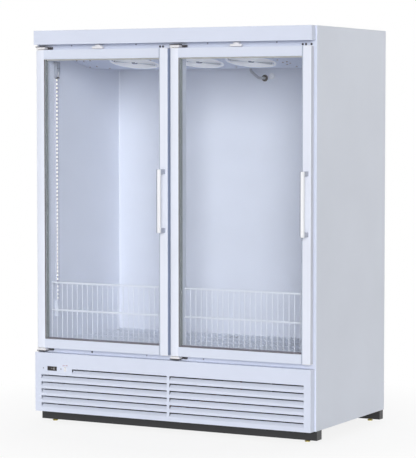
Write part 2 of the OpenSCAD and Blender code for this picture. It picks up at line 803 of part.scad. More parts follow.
// Discharge, liquid and suction lines, with the filter drier in the liquid line
bend_x = condenser_x + condenser_w + bend_l;
discharge_gap = 6;
drier_gap = 56;
drier_x = bend_x + drier_gap;
drier_y = 300;
drier_l = 110;
drier_d = 42;
drier_foot_w = 16;
riser_y = 690;
suction_d = 13.5;
module refrigerant_lines() color("#b56b3c") placed() {
    low_z = condenser_z + row_first;
    line_z = low_z + row_pitch;
    discharge_x = bend_x + discharge_gap;
    discharge_y = row_y + row_offset;
    rod_x(bend_x, discharge_y, low_z, pipe_d, discharge_gap);
    pipe_corner(discharge_x, discharge_y, low_z, pipe_d);
    rod_y(discharge_x, discharge_y, low_z, pipe_d, compressor_y - discharge_y);
    pipe_corner(discharge_x, compressor_y, low_z, pipe_d);
    shell_x = compressor_x + compressor_d / 2;
    rod_x(shell_x, compressor_y, low_z, pipe_d, discharge_x - shell_x);
    liquid_y = row_y - row_offset;
    rod_x(bend_x, liquid_y, line_z, pipe_d, drier_gap);
    pipe_corner(drier_x, liquid_y, line_z, pipe_d);
    rod_y(drier_x, liquid_y, line_z, pipe_d, riser_y - liquid_y);
    rod_y(drier_x, drier_y, line_z, drier_d, drier_l);
    pipe_corner(drier_x, riser_y, line_z, pipe_d);
    translate([drier_x, riser_y, line_z]) cylinder(d = pipe_d, h = floor_under - line_z);
    foot_y = drier_y + (drier_l - drier_foot_w) / 2;
    span_box([drier_x - drier_foot_w / 2, foot_y, deck_top],
             [drier_x + drier_foot_w / 2, foot_y + drier_foot_w, line_z]);
    translate([compressor_x, compressor_y, compressor_top])
        cylinder(d = suction_d, h = floor_under - compressor_top);
}

// Shallow pan that catches and evaporates the defrost water
pan_inset = 180;
pan_w = 360;
pan_x = half_w - pan_inset - pan_w;
pan_y = 150;
pan_d = 300;
pan_h = 46;
pan_t = 2;
module condensate_pan() color("#6f7478") placed() difference() {
    span_box([pan_x, pan_y, deck_top], [pan_x + pan_w, pan_y + pan_d, deck_top + pan_h]);
    span_box([pan_x + pan_t, pan_y + pan_t, deck_top + pan_t],
             [pan_x + pan_w - pan_t, pan_y + pan_d - pan_t, deck_top + pan_h + cut_over]);
}

// Hollow sheet box for the wiring, with its lid
elec_inset = 40;
elec_x = -half_w + elec_inset;
elec_y = 220;
elec_w = 150;
elec_d = 210;
elec_h = 150;
elec_t = 2;
lid_lip = 3;
lid_t = 4;
module electrical_box() color("#8d9298") placed() {
    lid_z = deck_top + elec_h;
    difference() {
        span_box([elec_x, elec_y, deck_top], [elec_x + elec_w, elec_y + elec_d, lid_z]);
        span_box([elec_x + elec_t, elec_y + elec_t, deck_top + elec_t],
                 [elec_x + elec_w - elec_t, elec_y + elec_d - elec_t, lid_z + cut_over]);
    }
    span_box([elec_x - lid_lip, elec_y - lid_lip, lid_z + seam],
             [elec_x + elec_w + lid_lip, elec_y + elec_d + lid_lip, lid_z + seam + lid_t]);
}

// ---------------------------------------------------------------- evaporator

cover_t = 1.2;
fan_hole_reach = 10;
module fan_place(x) translate([x, fan_y, fan_z]) rotate([-slope_angle, 0, 0]) children();

// Sloped cover under the evaporator, with a round opening for each fan
module evaporator_cover() color("#c9cedb") placed() difference() {
    across(-inner_half, 2 * inner_half) polygon([
        [breaker_end, cover_z], [slope_start, cover_z],
        [slope_end, cover_z - cover_slope], [inner_back, cover_z - cover_slope],
        [inner_back, cover_z - cover_slope + cover_t], [slope_end, cover_z - cover_slope + cover_t],
        [slope_start, cover_z + cover_t], [breaker_end, cover_z + cover_t]]);
    for (x = fan_xs) fan_place(x)
        translate([0, 0, -fan_hole_reach]) cylinder(d = shroud_hole_d, h = 2 * fan_hole_reach);
}

coil_end_gap = 110;
coil_from_slope = 30;
coil_foot = 8;
coil_back_gap = 12;
stub_d = 12;
stub_l = 16;
stub_inset = 28;
coil_x = inner_half - coil_end_gap;
coil_y = slope_end + coil_from_slope;
module evaporator_coil() color("#a8b0b8") placed() {
    low = cover_z - cover_slope + cover_t;
    high = ceiling_z;
    back = inner_back - coil_back_gap;
    span_box([-coil_x, coil_y, low + coil_foot], [coil_x, back - coil_foot, high - coil_foot]);
    for (side = [0, 1]) mirror([side, 0, 0]) {
        span_box([coil_x - seam, coil_y - coil_foot, low], [coil_x + end_plate_t, back, high]);
        for (z = [low + stub_inset, high - stub_inset])
            rod_x(coil_x, coil_y + 2 * stub_inset, z, stub_d, stub_l);
    }
}

evap_hub = 56;
evap_shaft = 6;
evap_motor_d = 74;
motor_l = 34;
motor_gap = 4;
motor_low = cover_t + blade_gap + fan_depth + motor_gap;
shaft_start = 2;
post_w = 6;
post_d = 16;
post_gap = 8;
strap_t = 3;
module evaporator_motors() color("#2b2d31") placed() for (x = fan_xs) fan_place(x) {
    top = motor_low + motor_l;
    translate([0, 0, motor_low]) cylinder(d = evap_motor_d, h = motor_l);
    translate([0, 0, cover_t + shaft_start]) cylinder(d = evap_shaft, h = motor_low - cover_t - shaft_start);
    for (side = [0, 1]) mirror([side, 0, 0]) {
        post_x = shroud_hole_d / 2 + post_gap;
        span_box([post_x, -post_d / 2, cover_t], [post_x + post_w, post_d / 2, top]);
        span_box([0, -post_d / 2, top - strap_t], [post_x, post_d / 2, top]);
    }
}

module evaporator_fan(x) placed() fan_place(x) translate([0, 0, cover_t + blade_gap])
    axial_fan(evap_fan_d, evap_hub, fan_depth, evap_shaft + 2 * shaft_clear);

module evaporator_fan_left() color("#dfe2e8") evaporator_fan(fan_x_left);

module evaporator_fan_mid() color("#dfe2e8") evaporator_fan(fan_x_mid);

module evaporator_fan_right() color("#dfe2e8") evaporator_fan(fan_x_right);

// Wire guard under each fan: concentric rings joined by ribs, round a small disc
ring_pitch = 22;
guard_disc_r = 14;
module fan_guards() color("#d5d9e2") placed() for (x = fan_xs) fan_place(x)
    translate([0, 0, -wire_d]) linear_extrude(wire_d) {
        for (r = [(guard_d - wire_d) / 2 : -ring_pitch : guard_disc_r + wire_d]) difference() {
            circle(r = r + wire_d / 2);
            circle(r = r - wire_d / 2);
        }
        circle(r = guard_disc_r);
        for (a = [0 : 45 : 315]) rotate(a)
            translate([0, -wire_d / 2]) square([(guard_d - wire_d) / 2, wire_d]);
    }

// Tube from the evaporator cover to the grommet in the back wall
tube_from_wall = 26;
tube_y = inner_back - tube_from_wall;
tube_run = 62;
drain_d = 13;
grommet_x = 137;
grommet_drop = 47;
grommet_z = cover_z - cover_slope - grommet_drop;
module drain_tube() color("#8d8f93") placed() {
    low_x = grommet_x - tube_run;
    translate([low_x, tube_y, grommet_z]) cylinder(d = drain_d, h = cover_z - cover_slope - grommet_z);
    pipe_corner(low_x, tube_y, grommet_z, drain_d);
    rod_x(low_x, tube_y, grommet_z, drain_d, tube_run);
    pipe_corner(grommet_x, tube_y, grommet_z, drain_d);
    rod_y(grommet_x, tube_y, grommet_z, drain_d, inner_back - tube_y);
}

// Round grommet for the tube, and a spare hole's cap beside it
wall_grommet_d = 32;
wall_grommet_t = 7;
plug_offset = 38;
plug_rise = 9;
plug_d = 28;
plug_t = 4;
plug_dish_d = 18;
plug_dish_depth = 2;
module wall_fittings() color("#3a3a3c") placed() {
    difference() {
        rod_y(grommet_x, inner_back - wall_grommet_t, grommet_z, wall_grommet_d, wall_grommet_t);
        rod_y(grommet_x, inner_back - wall_grommet_t - cut_over, grommet_z,
              drain_d + 2 * pin_clear, wall_grommet_t + 2 * cut_over);
    }
    plug_x = grommet_x + plug_offset;
    plug_z = grommet_z + plug_rise;
    difference() {
        rod_y(plug_x, inner_back - plug_t, plug_z, plug_d, plug_t);
        rod_y(plug_x, inner_back - plug_t - cut_over, plug_z, plug_dish_d, plug_dish_depth + cut_over);
    }
}

// ---------------------------------------------------------------- lights

// Light bar: a flat back towards the side wall and a round lens towards the middle
bar_wall_gap = 1;
bar_inset = bar_w / 2 + bar_wall_gap;
bar_x = inner_half - bar_inset;
light_y = face_y + light_setback;
bar_z = floor_z + bar_low;
holder_gap = 20;
bar_top = cover_z - holder_gap - holder_l;
module led_tubes() color("#fdf6e0") placed() for (side = [0, 1]) mirror([side, 0, 0])
    translate([bar_x, light_y, bar_z]) linear_extrude(bar_top - bar_z) {
        circle(d = bar_w);
        translate([0, -bar_w / 2]) square([bar_w / 2, bar_w]);
    }

// Holder at each end of a light bar: a block on the wall that narrows towards the bar
holder_d = 28;
holder_tip_w = 12;
holder_taper = 30;
module light_holder() upright_sheet(light_y - holder_d / 2, holder_d) polygon([
    [inner_half, 0], [inner_half - holder_tip_w, 0], [inner_half - holder_w, holder_taper],
    [inner_half - holder_w, holder_l], [inner_half, holder_l]]);

module led_holders() color("#9ba0a8") placed() for (side = [0, 1]) mirror([side, 0, 0]) {
    translate([0, 0, bar_top]) light_holder();
    translate([0, 0, bar_z]) mirror([0, 0, 1]) light_holder();
}

// ---------------------------------------------------------------- racks and fences

// Flat lattice of wires inside a rectangle: uprights at a pitch, and the listed cross bars
module lattice(low, high, pitch, bars, wire, bar_w) {
    count = floor((high[0] - low[0] - wire) / pitch);
    step = (high[0] - low[0] - wire) / count;
    for (i = [0 : count]) rect([low[0] + i * step, low[1]], [low[0] + i * step + wire, high[1]]);
    for (b = bars) rect([low[0], b], [high[0], b + bar_w]);
}

rack_front_gap = 4;
rack_front = breaker_end + rack_front_gap;
rack_back = inner_back - rack_clear;
rack_split = 6;
rack_bars = 4;
rack_pad = 10;
rack_pad_inset = 40;
module floor_racks() color("#e9ecf3") placed() for (side = [0, 1]) mirror([side, 0, 0]) {
    bar_step = (rack_back - rack_front - wire_d) / rack_bars;
    far_x = inner_half - rack_clear;
    translate([0, 0, floor_z + rack_h - wire_d]) linear_extrude(wire_d)
        lattice([rack_split, rack_front], [far_x, rack_back], fence_pitch,
                [for (i = [0 : rack_bars]) rack_front + i * bar_step], wire_d, wire_d);
    for (x = [2 * rack_split, far_x - 2 * rack_pad])
        for (y = [rack_front + rack_pad_inset, rack_back - rack_pad_inset - rack_pad])
            span_box([x, y, floor_z], [x + rack_pad, y + rack_pad, floor_z + rack_h - wire_d]);
}

fence_gap = 6;
fence_half = mullion_w / 2 + fence_gap;
fence_end_gap = 10;
module retainer_fences() color("#eef0f6") placed() for (side = [0, 1]) mirror([side, 0, 0])
    upright_sheet(face_y + fence_setback, wire_d)
        lattice([fence_half, floor_z + rack_h], [inner_half - fence_end_gap, floor_z + fence_h], fence_pitch,
                [floor_z + rack_h, floor_z + fence_mid, floor_z + fence_h - fence_rail], wire_d, fence_rail);

// ---------------------------------------------------------------- hinges and switches

cover_gap = 2;
plate_t = 4;
plate_low = 12.5;
plate_high = 34;
cover_low = 9;
stop_w = 21;
stop_h = 11;
stop_d = 13;
stop_gap = 5;
bracket_setback = 3;
bracket_front = door_setback + bracket_setback;
// Hinge parts at one end of the door: measured from the door's end face outwards
module hinge_end(x, up) translate([x, 0, up ? door_top : door_z]) mirror([0, 0, up ? 0 : 1]) children();

module hinge_brackets() color("#34343a") placed()
    for (x = hinge_xs) for (up = [false, true]) hinge_end(x, up) {
        plate_z = cover_gap + cover_h;
        stop_x = cover_w - cover_low + stop_gap;
        span_box([-plate_low, bracket_front, plate_z], [plate_high, face_y, plate_z + plate_t]);
        translate([0, pin_y, -pin_reach]) cylinder(d = pin_d, h = pin_reach + plate_z);
        span_box([stop_x, face_y - stop_d, cover_gap], [stop_x + stop_w, face_y, cover_gap + stop_h]);
    }

module hinge_covers() color("#f4f4f2") placed() for (x = hinge_xs) for (up = [false, true]) hinge_end(x, up)
    difference() {
        span_box([-cover_low, bracket_front, cover_gap], [cover_w - cover_low, face_y, cover_gap + cover_h]);
        translate([0, pin_y, cover_gap - cut_over])
            cylinder(d = pin_d + 2 * pin_clear, h = cover_h + 2 * cut_over);
    }

// Magnetic door switches: a block over each door on a neck from the cabinet face
block_w = 56;
block_d = 16;
block_h = 11;
block_from_face = 28;
block_gap = 2;
neck_w = 26;
neck_h = 8;
neck_gap = 4;
module door_switches() color("#efefec") placed() for (x = [left_door_x, right_door_x])
    translate([x + switch_from_hinge, face_y, door_top + block_gap]) {
        span_box([-block_w / 2, -block_from_face, 0], [block_w / 2, block_d - block_from_face, block_h]);
        span_box([-neck_w / 2, neck_gap - block_from_face, block_h], [neck_w / 2, 0, block_h + neck_h]);
    }

// Screws that show: in the cabinet face over and under the doors, and in the louver panel
plug_drop = 16;
plug_insets = [58, 42, 15];
lintel_screw_drop = 5;
sill_screw_rise = 11;
display_screw_gap = 23;
face_screws = concat(
    [for (x = [left_door_x, right_door_x]) for (inset = plug_insets)
        if (x > 0 || inset > plug_insets[2]) [x + door_w - inset, header_z - plug_drop]],
    [for (x = [left_door_x, right_door_x]) for (along = [lintel_screw_near, door_w - lintel_screw_far])
        [x + along, header_z - lintel_screw_drop]],
    [for (x = [left_door_x + sill_screw_near, left_door_x + door_w - sill_screw_far,
               right_door_x + sill_screw_right])
        [x, panel_top + sill_screw_rise]]);
panel_screws = [for (x = [display_x - display_screw_gap, display_x + display_w + display_screw_gap])
    [x, switch_z]];
module cabinet_screws() color("#55555c") placed() {
    for (p = face_screws) screw_y(p[0], face_y, p[1]);
    for (p = panel_screws) screw_y(p[0], 0, p[1]);
}

// ---------------------------------------------------------------- doors

// Section of a stile seen from above: rounded front corner, seat for the glass
module stile_section(w, r) difference() {
    square([w, door_t]);
    difference() {
        square(r);
        translate([r, r]) circle(r = r);
    }
    rect([w - glass_seat, lip_t], [w + cut_over, door_t + cut_over]);
}

// Section of a rail in y and z, with the glass seat at its inner edge
module rail_section() difference() {
    square([door_t, rail_face_h]);
    rect([lip_t, rail_face_h - glass_seat], [door_t + cut_over, rail_face_h + cut_over]);
}

// Four bars, modelled solid: two full-height stiles and two rails between them
module door_frame(x) placed() translate([x, door_setback, door_z]) {
    difference() {
        linear_extrude(door_h) stile_section(hinge_stile_w, stile_r);
        for (z = [-cut_over, door_h - bush_l])
            translate([pin_inset, pin_depth, z]) cylinder(d = bush_d, h = bush_l + cut_over);
    }
    translate([door_w, 0, 0]) mirror([1, 0, 0]) linear_extrude(door_h)
        stile_section(handle_stile_w, handle_stile_r);
    for (end = [0, 1]) translate([0, 0, end * door_h]) mirror([0, 0, end])
        across(hinge_stile_w + seam, opening_w - 2 * seam) rail_section();
}

// Ring in x and z round the door's glass opening, by how far it goes out and in
module opening_ring(out, in) difference() {
    rect([opening_x - out, rail_face_h - out], [opening_x + opening_w + out, rail_face_h + opening_h + out]);
    rect([opening_x + in, rail_face_h + in], [opening_x + opening_w - in, rail_face_h + opening_h - in]);
}

// Grey plastic profile that clamps the glass from behind
module door_profile(x) placed() translate([x, 0, door_z])
    upright_sheet(profile_y, door_back - profile_y) opening_ring(glass_seat - seam, profile_show);

// Sealed glass unit: two panes and the spacer between their edges
spacer_w = 10;
module door_glass(x) placed() translate([x, 0, door_z]) {
    reach = glass_seat - glass_clear;
    for (y = [glass_y, glass_y + glass_t + pane_gap]) upright_sheet(y, glass_t)
        rect([opening_x - reach, rail_face_h - reach],
             [opening_x + opening_w + reach, rail_face_h + opening_h + reach]);
    upright_sheet(glass_y + glass_t + seam, pane_gap - 2 * seam) opening_ring(reach, spacer_w - reach);
}

// Magnetic gasket round the back of the frame
module door_gasket(x) placed() translate([x, 0, door_z])
    upright_sheet(door_back, face_y - seal_clear - door_back) difference() {
        rect([gasket_inset, gasket_inset], [door_w - gasket_inset, door_h - gasket_inset]);
        inner = gasket_inset + gasket_w;
        rect([inner, inner], [door_w - inner, door_h - inner]);
    }

// Bar handle with rounded front corners, on two brackets
handle_r = 2;
bracket_w = 18;
module door_handle(x) placed() translate([x + door_w - handle_inset, 0, handle_z]) {
    translate([0, handle_y, 0]) linear_extrude(handle_l) difference() {
        translate([-handle_w / 2, -handle_t]) square([handle_w, handle_t]);
        for (side = [0, 1]) mirror([side, 0]) translate([handle_w / 2 - handle_r, -handle_t]) difference() {
            square([handle_r + cut_over, handle_r]);
            translate([0, handle_r]) circle(r = handle_r);
        }
    }
    for (z = [0, handle_l - bracket_s])
        span_box([-bracket_w / 2, handle_y + seam, z], [bracket_w / 2, door_setback, z + bracket_s]);
}

// Bushes in the hinge stile that turn on the pins
bush_end_t = 4;
bush_l = pin_reach + bush_end_t;
module door_bushes(x) placed() translate([x + pin_inset, pin_y, door_z])
    for (end = [0, 1]) translate([0, 0, end * door_h]) mirror([0, 0, end]) difference() {
        cylinder(d = bush_d, h = bush_l);
        translate([0, 0, -cut_over]) cylinder(d = pin_d + 2 * pin_clear, h = pin_reach + 2 * cut_over);
    }

module left_door_frame() color("#dfe4f4") door_frame(left_door_x);

module left_door_profile() color("#8b9090") door_profile(left_door_x);

module left_door_glass() color("#cfe0e6", 0.35) door_glass(left_door_x);

module left_door_gasket() color("#77797c") door_gasket(left_door_x);

module left_door_handle() color("#f0f2f8") door_handle(left_door_x);

module left_door_bushes() color("#e6e6e2") door_bushes(left_door_x);

module right_door_frame() color("#dfe4f4") door_frame(right_door_x);

module right_door_profile() color("#8b9090") door_profile(right_door_x);

module right_door_glass() color("#cfe0e6", 0.35) door_glass(right_door_x);

module right_door_gasket() color("#77797c") door_gasket(right_door_x);

module right_door_handle() color("#f0f2f8") door_handle(right_door_x);

module right_door_bushes() color("#e6e6e2") door_bushes(right_door_x);

side_panel_left();
side_panel_right();
top_panel();
back_panel();
insulation();
liner();
face_frame();
center_mullion();
breaker_strips();
header();
louver_panel();
control_display();
switch_bezel();
rocker_switch();
base_rails();
compartment_sheets();
rear_grille();
power_inlet();
compressor();
compressor_grommets();
condenser_coil();
condenser_shroud();
condenser_fan_motor();
condenser_fan();
refrigerant_lines();
condensate_pan();
electrical_box();
evaporator_cover();
evaporator_coil();
evaporator_motors();
evaporator_fan_left();
evaporator_fan_mid();
evaporator_fan_right();
fan_guards();
drain_tube();
wall_fittings();
led_tubes();
led_holders();
floor_racks();
retainer_fences();
hinge_brackets();
hinge_covers();
door_switches();
cabinet_screws();
foot_front_left();
foot_front_right();
foot_rear_left();
foot_rear_right();
left_door_frame();
left_door_profile();
left_door_glass();
left_door_gasket();
left_door_handle();
left_door_bushes();
right_door_frame();
right_door_profile();
right_door_glass();
right_door_gasket();
right_door_handle();
right_door_bushes();
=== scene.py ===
"""Looks of the two-door ice merchandiser freezer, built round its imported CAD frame. Metres, Z up."""
import json
from math import atan2, cos, hypot, pi, radians, sin

import bmesh
import bpy
from mathutils import Matrix, Vector

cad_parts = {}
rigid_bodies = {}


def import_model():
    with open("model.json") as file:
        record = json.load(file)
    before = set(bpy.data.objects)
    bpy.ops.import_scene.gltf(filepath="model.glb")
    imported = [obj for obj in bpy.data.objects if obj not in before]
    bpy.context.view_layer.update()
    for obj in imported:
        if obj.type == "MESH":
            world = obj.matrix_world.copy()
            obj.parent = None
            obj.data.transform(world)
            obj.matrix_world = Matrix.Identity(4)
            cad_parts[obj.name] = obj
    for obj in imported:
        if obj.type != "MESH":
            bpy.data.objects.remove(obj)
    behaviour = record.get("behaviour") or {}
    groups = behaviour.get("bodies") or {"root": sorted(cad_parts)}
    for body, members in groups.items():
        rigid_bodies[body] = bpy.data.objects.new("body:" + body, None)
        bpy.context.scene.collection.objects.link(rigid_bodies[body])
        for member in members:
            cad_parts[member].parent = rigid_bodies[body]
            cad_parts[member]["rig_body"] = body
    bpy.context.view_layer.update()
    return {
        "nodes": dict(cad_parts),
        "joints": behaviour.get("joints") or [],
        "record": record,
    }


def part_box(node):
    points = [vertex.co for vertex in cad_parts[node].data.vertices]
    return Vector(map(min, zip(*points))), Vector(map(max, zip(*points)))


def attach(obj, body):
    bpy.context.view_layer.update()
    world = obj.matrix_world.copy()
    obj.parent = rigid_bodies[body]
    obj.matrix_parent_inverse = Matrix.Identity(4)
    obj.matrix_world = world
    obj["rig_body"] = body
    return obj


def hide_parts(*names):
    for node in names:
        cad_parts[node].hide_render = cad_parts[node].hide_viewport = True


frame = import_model()
NODES = frame["nodes"]
JOINTS = {joint["name"]: joint for joint in frame["joints"]}
SLOTS = {part["node"]: part["material_slot"] for part in frame["record"]["subparts"]}

# ---- sizes

# Door extrusions
DOOR_DEPTH = 0.032
HINGE_STILE = 0.046
HANDLE_STILE = 0.043
RAIL = 0.044
HINGE_CORNER = 0.014
HANDLE_CORNER = 0.003
FACET = 0.014
FACET_DROP = 0.0026
TRIM = 0.005
TRIM_DROP = 0.0012
LIP = 0.004
GLASS_SEAT = 0.008
CAP = 0.002
CAP_SHARE = 0.985
GROOVE = 0.0008
STILE_SMOOTH = 8
BUSH_RADIUS = 0.009
PIN_RADIUS = 0.005
BUSH_DEPTH = 0.024
EDGE_STRIP = (0.0046, 0.0290)
STRIP_DROP = 0.0006
CHAMFER = 0.0012

# Handles
HANDLE_BAR = 0.012
HANDLE_STRIP = 0.0048
BRACKET_WIDTH = 0.018
BRACKET_HEIGHT = 0.020

# Glass unit
PANE = 0.004
PANE_GAP = 0.012
SPACER = 0.010
SPACER_SEAL = 0.001
SEAT_GAP = 0.0005
PROFILE_SHOW = 0.006
GASKET_WIDTH = 0.014
BOTTOM = (0,)
TOP = (2,)
UPRIGHTS = (1, 3)

# Evaporator fans and guards
FANS = ("evaporator_fan_left", "evaporator_fan_mid", "evaporator_fan_right")
FAN_RADIUS = 0.098
FAN_HUB = 0.028
FAN_BORE = 0.0032
FAN_DEPTH = 0.024
FAN_LIFT = 0.0072
GUARD_RADIUS = 0.117
GUARD_PITCH = 0.0085
GUARD_DISC = 0.014
GUARD_WIRE = 0.0016
WIRE = 0.002

# Condenser and its fan
CONDENSER_FAN_RADIUS = 0.095
CONDENSER_HUB = 0.029
BLADES = 5
COIL_BENDS = 0.014
COIL_PLATE = 0.002
TUBE_START = 0.029
TUBE_PITCH = 0.025
TUBE_GAP = 0.024
BEND_REACH = 0.010
FIN_PITCH = 0.0045
FIN_WALL = 0.0004

# Light bars
LAMP_START = 0.012
LAMP_PITCH = 0.018
BOARD_SHARE = 0.8
LAMP_CHIP = (0.0012, 0.0070, 0.0090)
CHANNEL_WALL = 0.0012
LENS_WALL = 0.0008
HOLDER_DEPTH = 0.018
HOLDER_TIP = 0.012
HOLDER_SCREW = 0.044
SCREW_OFFSET = 0.008
LATCH_FOOT = 0.004
LATCH_HEAD = 0.028
LATCH_HALF = 0.004

# Drain hose and the cap beside it
HOSE_RADIUS = 0.0065
HOSE_DROP = 0.014
HOSE_END = 0.020
HOSE_BEND = 0.026
CAP_RADIUS = 0.014

# Racks and fences
WIRE_PITCH = 0.027
RACK_INNER = 0.006
FENCE_INNER = 0.051
FENCE_LIFT = 0.012
FENCE_MID = 0.151
FENCE_RAIL = 0.008
RACK_FOOT_INSET = 0.045

# Levelling feet
THREAD_PITCH = 0.0015
THREAD_END = 0.002

# Louver panel and controls
BLADE_TOP_DEPTH = (0.009, 0.016)
BLADE_TRIM = 0.0015
WINDOW_SINK = 0.0008
DISPLAY_RIM = 0.0022
DIGIT = (0.0088, 0.0046, 0.0010)
DIGIT_START = 0.021
DIGIT_PITCH = 0.0068
ROCKER_FACE = -0.0056
LABEL_SIZE = 0.0075
LABEL_THICK = 0.0001
LABEL_RISE = 0.004

# Cabinet
SCREW_REACH = 0.0085
PLUG_BAND = (0.020, 0.012)
DARK_SCREW_REACH = 0.3
LINER_WALL = 0.001
COVE = 0.007
BACK_SETBACK = 0.001
BACK_SHEET = 0.001
BEADS = 7
BEAD_DEPTH = 0.0014
BEAD_HALF = 0.009
BEAD_END = 0.05
RIVET_PITCH = 0.15
RIVET_EDGE = 0.012
MAT_SIZE = (0.452, 0.160)
MAT_RISE = 0.040
MAT_THICK = 0.0006

# Photo frame and camera
PHOTO_HEIGHT = 458
FOCAL_PIXELS = 2033.92
SENSOR = 36
CAMERA_PLACE = (4.46134, -8.38288, 1.46871)
CAMERA_PITCH = pi / 2 - 0.0589
CAMERA_YAW = 0.4886

# Light: where each sun shines from, its strength and how wide it is in degrees
SKY = 0.30
SUNS = {
    "key": ((0.45, -0.88, 0.21), 2.04, 24),
    "rear": ((-0.10, 0.97, 0.14), 1.10, 40),
    "left": ((-0.97, 0.15, 0.12), 0.90, 40),
}

MERGE = 0.00001
FLAT = radians(1)
SHARP = radians(25)
FRONT = (0, -1, 0)
REAR = (0, 1, 0)


# ---- materials

MATERIALS = {}


def srgb(colour):
    """Linear colour of an sRGB colour whose parts run from 0 to 255."""
    parts = [part / 255 for part in colour]
    return [p / 12.92 if p < 0.04045 else ((p + 0.055) / 1.055) ** 2.4 for p in parts] + [1]


def shade(colour, factor):
    return [min(part * factor, 1) for part in colour[:3]] + [1]


def new_material(name):
    """Keeps a new material under its name; returns its node tree and shader."""
    material = MATERIALS[name] = bpy.data.materials.new(name + "_finish")
    material.use_nodes = True
    return material.node_tree, material.node_tree.nodes["Principled BSDF"]


def set_sockets(tree, node, sockets):
    """Gives a node's inputs plain values, or links them from sockets."""
    for name, value in sockets.items():
        if isinstance(value, bpy.types.NodeSocket):
            tree.links.new(value, node.inputs[name])
        else:
            node.inputs[name].default_value = value


def add_node(tree, kind, sockets=None, **options):
    node = tree.nodes.new("ShaderNode" + kind)
    for option, value in options.items():
        setattr(node, option, value)
    set_sockets(tree, node, sockets or {})
    return node


def combine(tree, operation, first, second):
    return add_node(tree, "Math", {0: first, 1: second}, operation=operation).outputs[0]


def mix_surface(tree, share, near, far, output="Material Output"):
    """Shows one shader or the other, by a share from 0 to 1."""
    both = add_node(tree, "MixShader", {0: share, 1: near.outputs[0], 2: far.outputs[0]})
    tree.links.new(both.outputs[0], tree.nodes[output].inputs["Surface"])


def ramp(tree, value, stops):
    """Colour that follows a value through the stops, which are (position, colour)."""
    node = add_node(tree, "ValToRGB", {"Fac": value})
    band = node.color_ramp.elements
    for position, colour in stops[1:-1]:
        band.new(position).color = colour
    for element, (position, colour) in ((band[0], stops[0]), (band[-1], stops[-1])):
        element.position = position
        element.color = colour
    return node.outputs["Color"]


def drift(tree, value, near, far):
    """Colour that drifts from near to far with a noise value."""
    return ramp(tree, value, [(0.3, near), (0.7, far)])


def object_place(tree):
    return add_node(tree, "TexCoord").outputs["Object"]


def noise(tree, scale, detail=2.0, place=None):
    place = place or object_place(tree)
    return add_node(tree, "TexNoise", {"Vector": place, "Scale": scale, "Detail": detail}).outputs["Fac"]


def remap(tree, value, low, high, start=0.0, end=1.0):
    """Value from low to high while another runs from start to end."""
    sockets = {"Value": value, "From Min": start, "From Max": end, "To Min": low, "To Max": high}
    return add_node(tree, "MapRange", sockets).outputs["Result"]


def relief(tree, height, strength, depth):
    return add_node(tree, "Bump", {"Height": height, "Strength": strength, "Distance": depth}).outputs[0]


def surface(name, colour, roughness, spread=0.02, patch=3.0, grain=600.0, depth=0.00004, stretch=(1, 1, 1),
            strength=0.3, **sockets):
    """Finish whose colour drifts over broad patches, with a fine grain in its roughness and relief."""
    tree, shader = new_material(name)
    colour = srgb(colour)
    stretched = add_node(tree, "Mapping", {"Vector": object_place(tree), "Scale": stretch}).outputs["Vector"]
    grains = noise(tree, grain, place=stretched)
    patches = noise(tree, patch, 3.0)
    set_sockets(tree, shader, {
        "Base Color": drift(tree, patches, shade(colour, 1 - spread), shade(colour, 1 + spread)),
        "Roughness": remap(tree, grains, roughness - 0.06, roughness + 0.06),
        "Normal": relief(tree, grains, strength, depth),
        **{socket.replace("_", " "): value for socket, value in sockets.items()},
    })


def galvanised(name, colour):
    """Zinc coat with its crystal pattern."""
    tree, shader = new_material(name)
    cells = add_node(tree, "TexVoronoi", {"Vector": object_place(tree), "Scale": 75.0}).outputs["Color"]
    cell = add_node(tree, "SeparateColor", {"Color": cells}).outputs["Red"]
    set_sockets(tree, shader, {
        "Base Color": ramp(tree, cell, [(0, shade(srgb(colour), 0.93)), (1, shade(srgb(colour), 1.05))]),
        "Roughness": remap(tree, cell, 0.36, 0.5),
        "Metallic": 0.6,
    })


def banded(name, near, far, start, end, roughness):
    """Plastic whose colour steps darker along Y, towards the back, as on strips made of two extrusions; the
    darker back part is painted shade deeper in the opening.
    """
    tree, shader = new_material(name)
    near, far = srgb(near), srgb(far)
    along = add_node(tree, "SeparateXYZ", {"Vector": object_place(tree)}).outputs["Y"]
    share = remap(tree, along, 0.0, 1.0, start, end)
    grains = noise(tree, 900.0)
    set_sockets(tree, shader, {
        "Base Color": ramp(tree, share, [(0.0, near), (0.42, shade(near, 0.95)), (0.5, far), (1.0, far)]),
        "Roughness": remap(tree, grains, roughness - 0.05, roughness + 0.05),
        "Normal": relief(tree, grains, 0.2, 0.00003),
    })


def clear(name, tint, ior):
    """Clear glass or plastic that lets lamps and scattered light through."""
    tree, shader = new_material(name)
    colour = drift(tree, noise(tree, 9.0), shade(tint, 0.99), shade(tint, 1))
    sockets = {"Base Color": colour, "Roughness": 0.0, "IOR": ior, "Transmission Weight": 1.0}
    set_sockets(tree, shader, sockets)
    path = add_node(tree, "LightPath").outputs
    light = combine(tree, "MAXIMUM", path["Is Shadow Ray"], path["Is Diffuse Ray"])
    mix_surface(tree, light, shader, add_node(tree, "BsdfTransparent", {"Color": colour}))


def glowing(name, colour, strength):
    """Lit plastic, a little uneven."""
    tree, shader = new_material(name)
    glow = drift(tree, noise(tree, 260.0), shade(srgb(colour), 0.94), srgb(colour))
    set_sockets(tree, shader, {
        "Base Color": glow,
        "Emission Color": glow,
        "Emission Strength": strength,
        "Roughness": 0.4,
    })


SIDE_PAINT = (222, 227, 237)

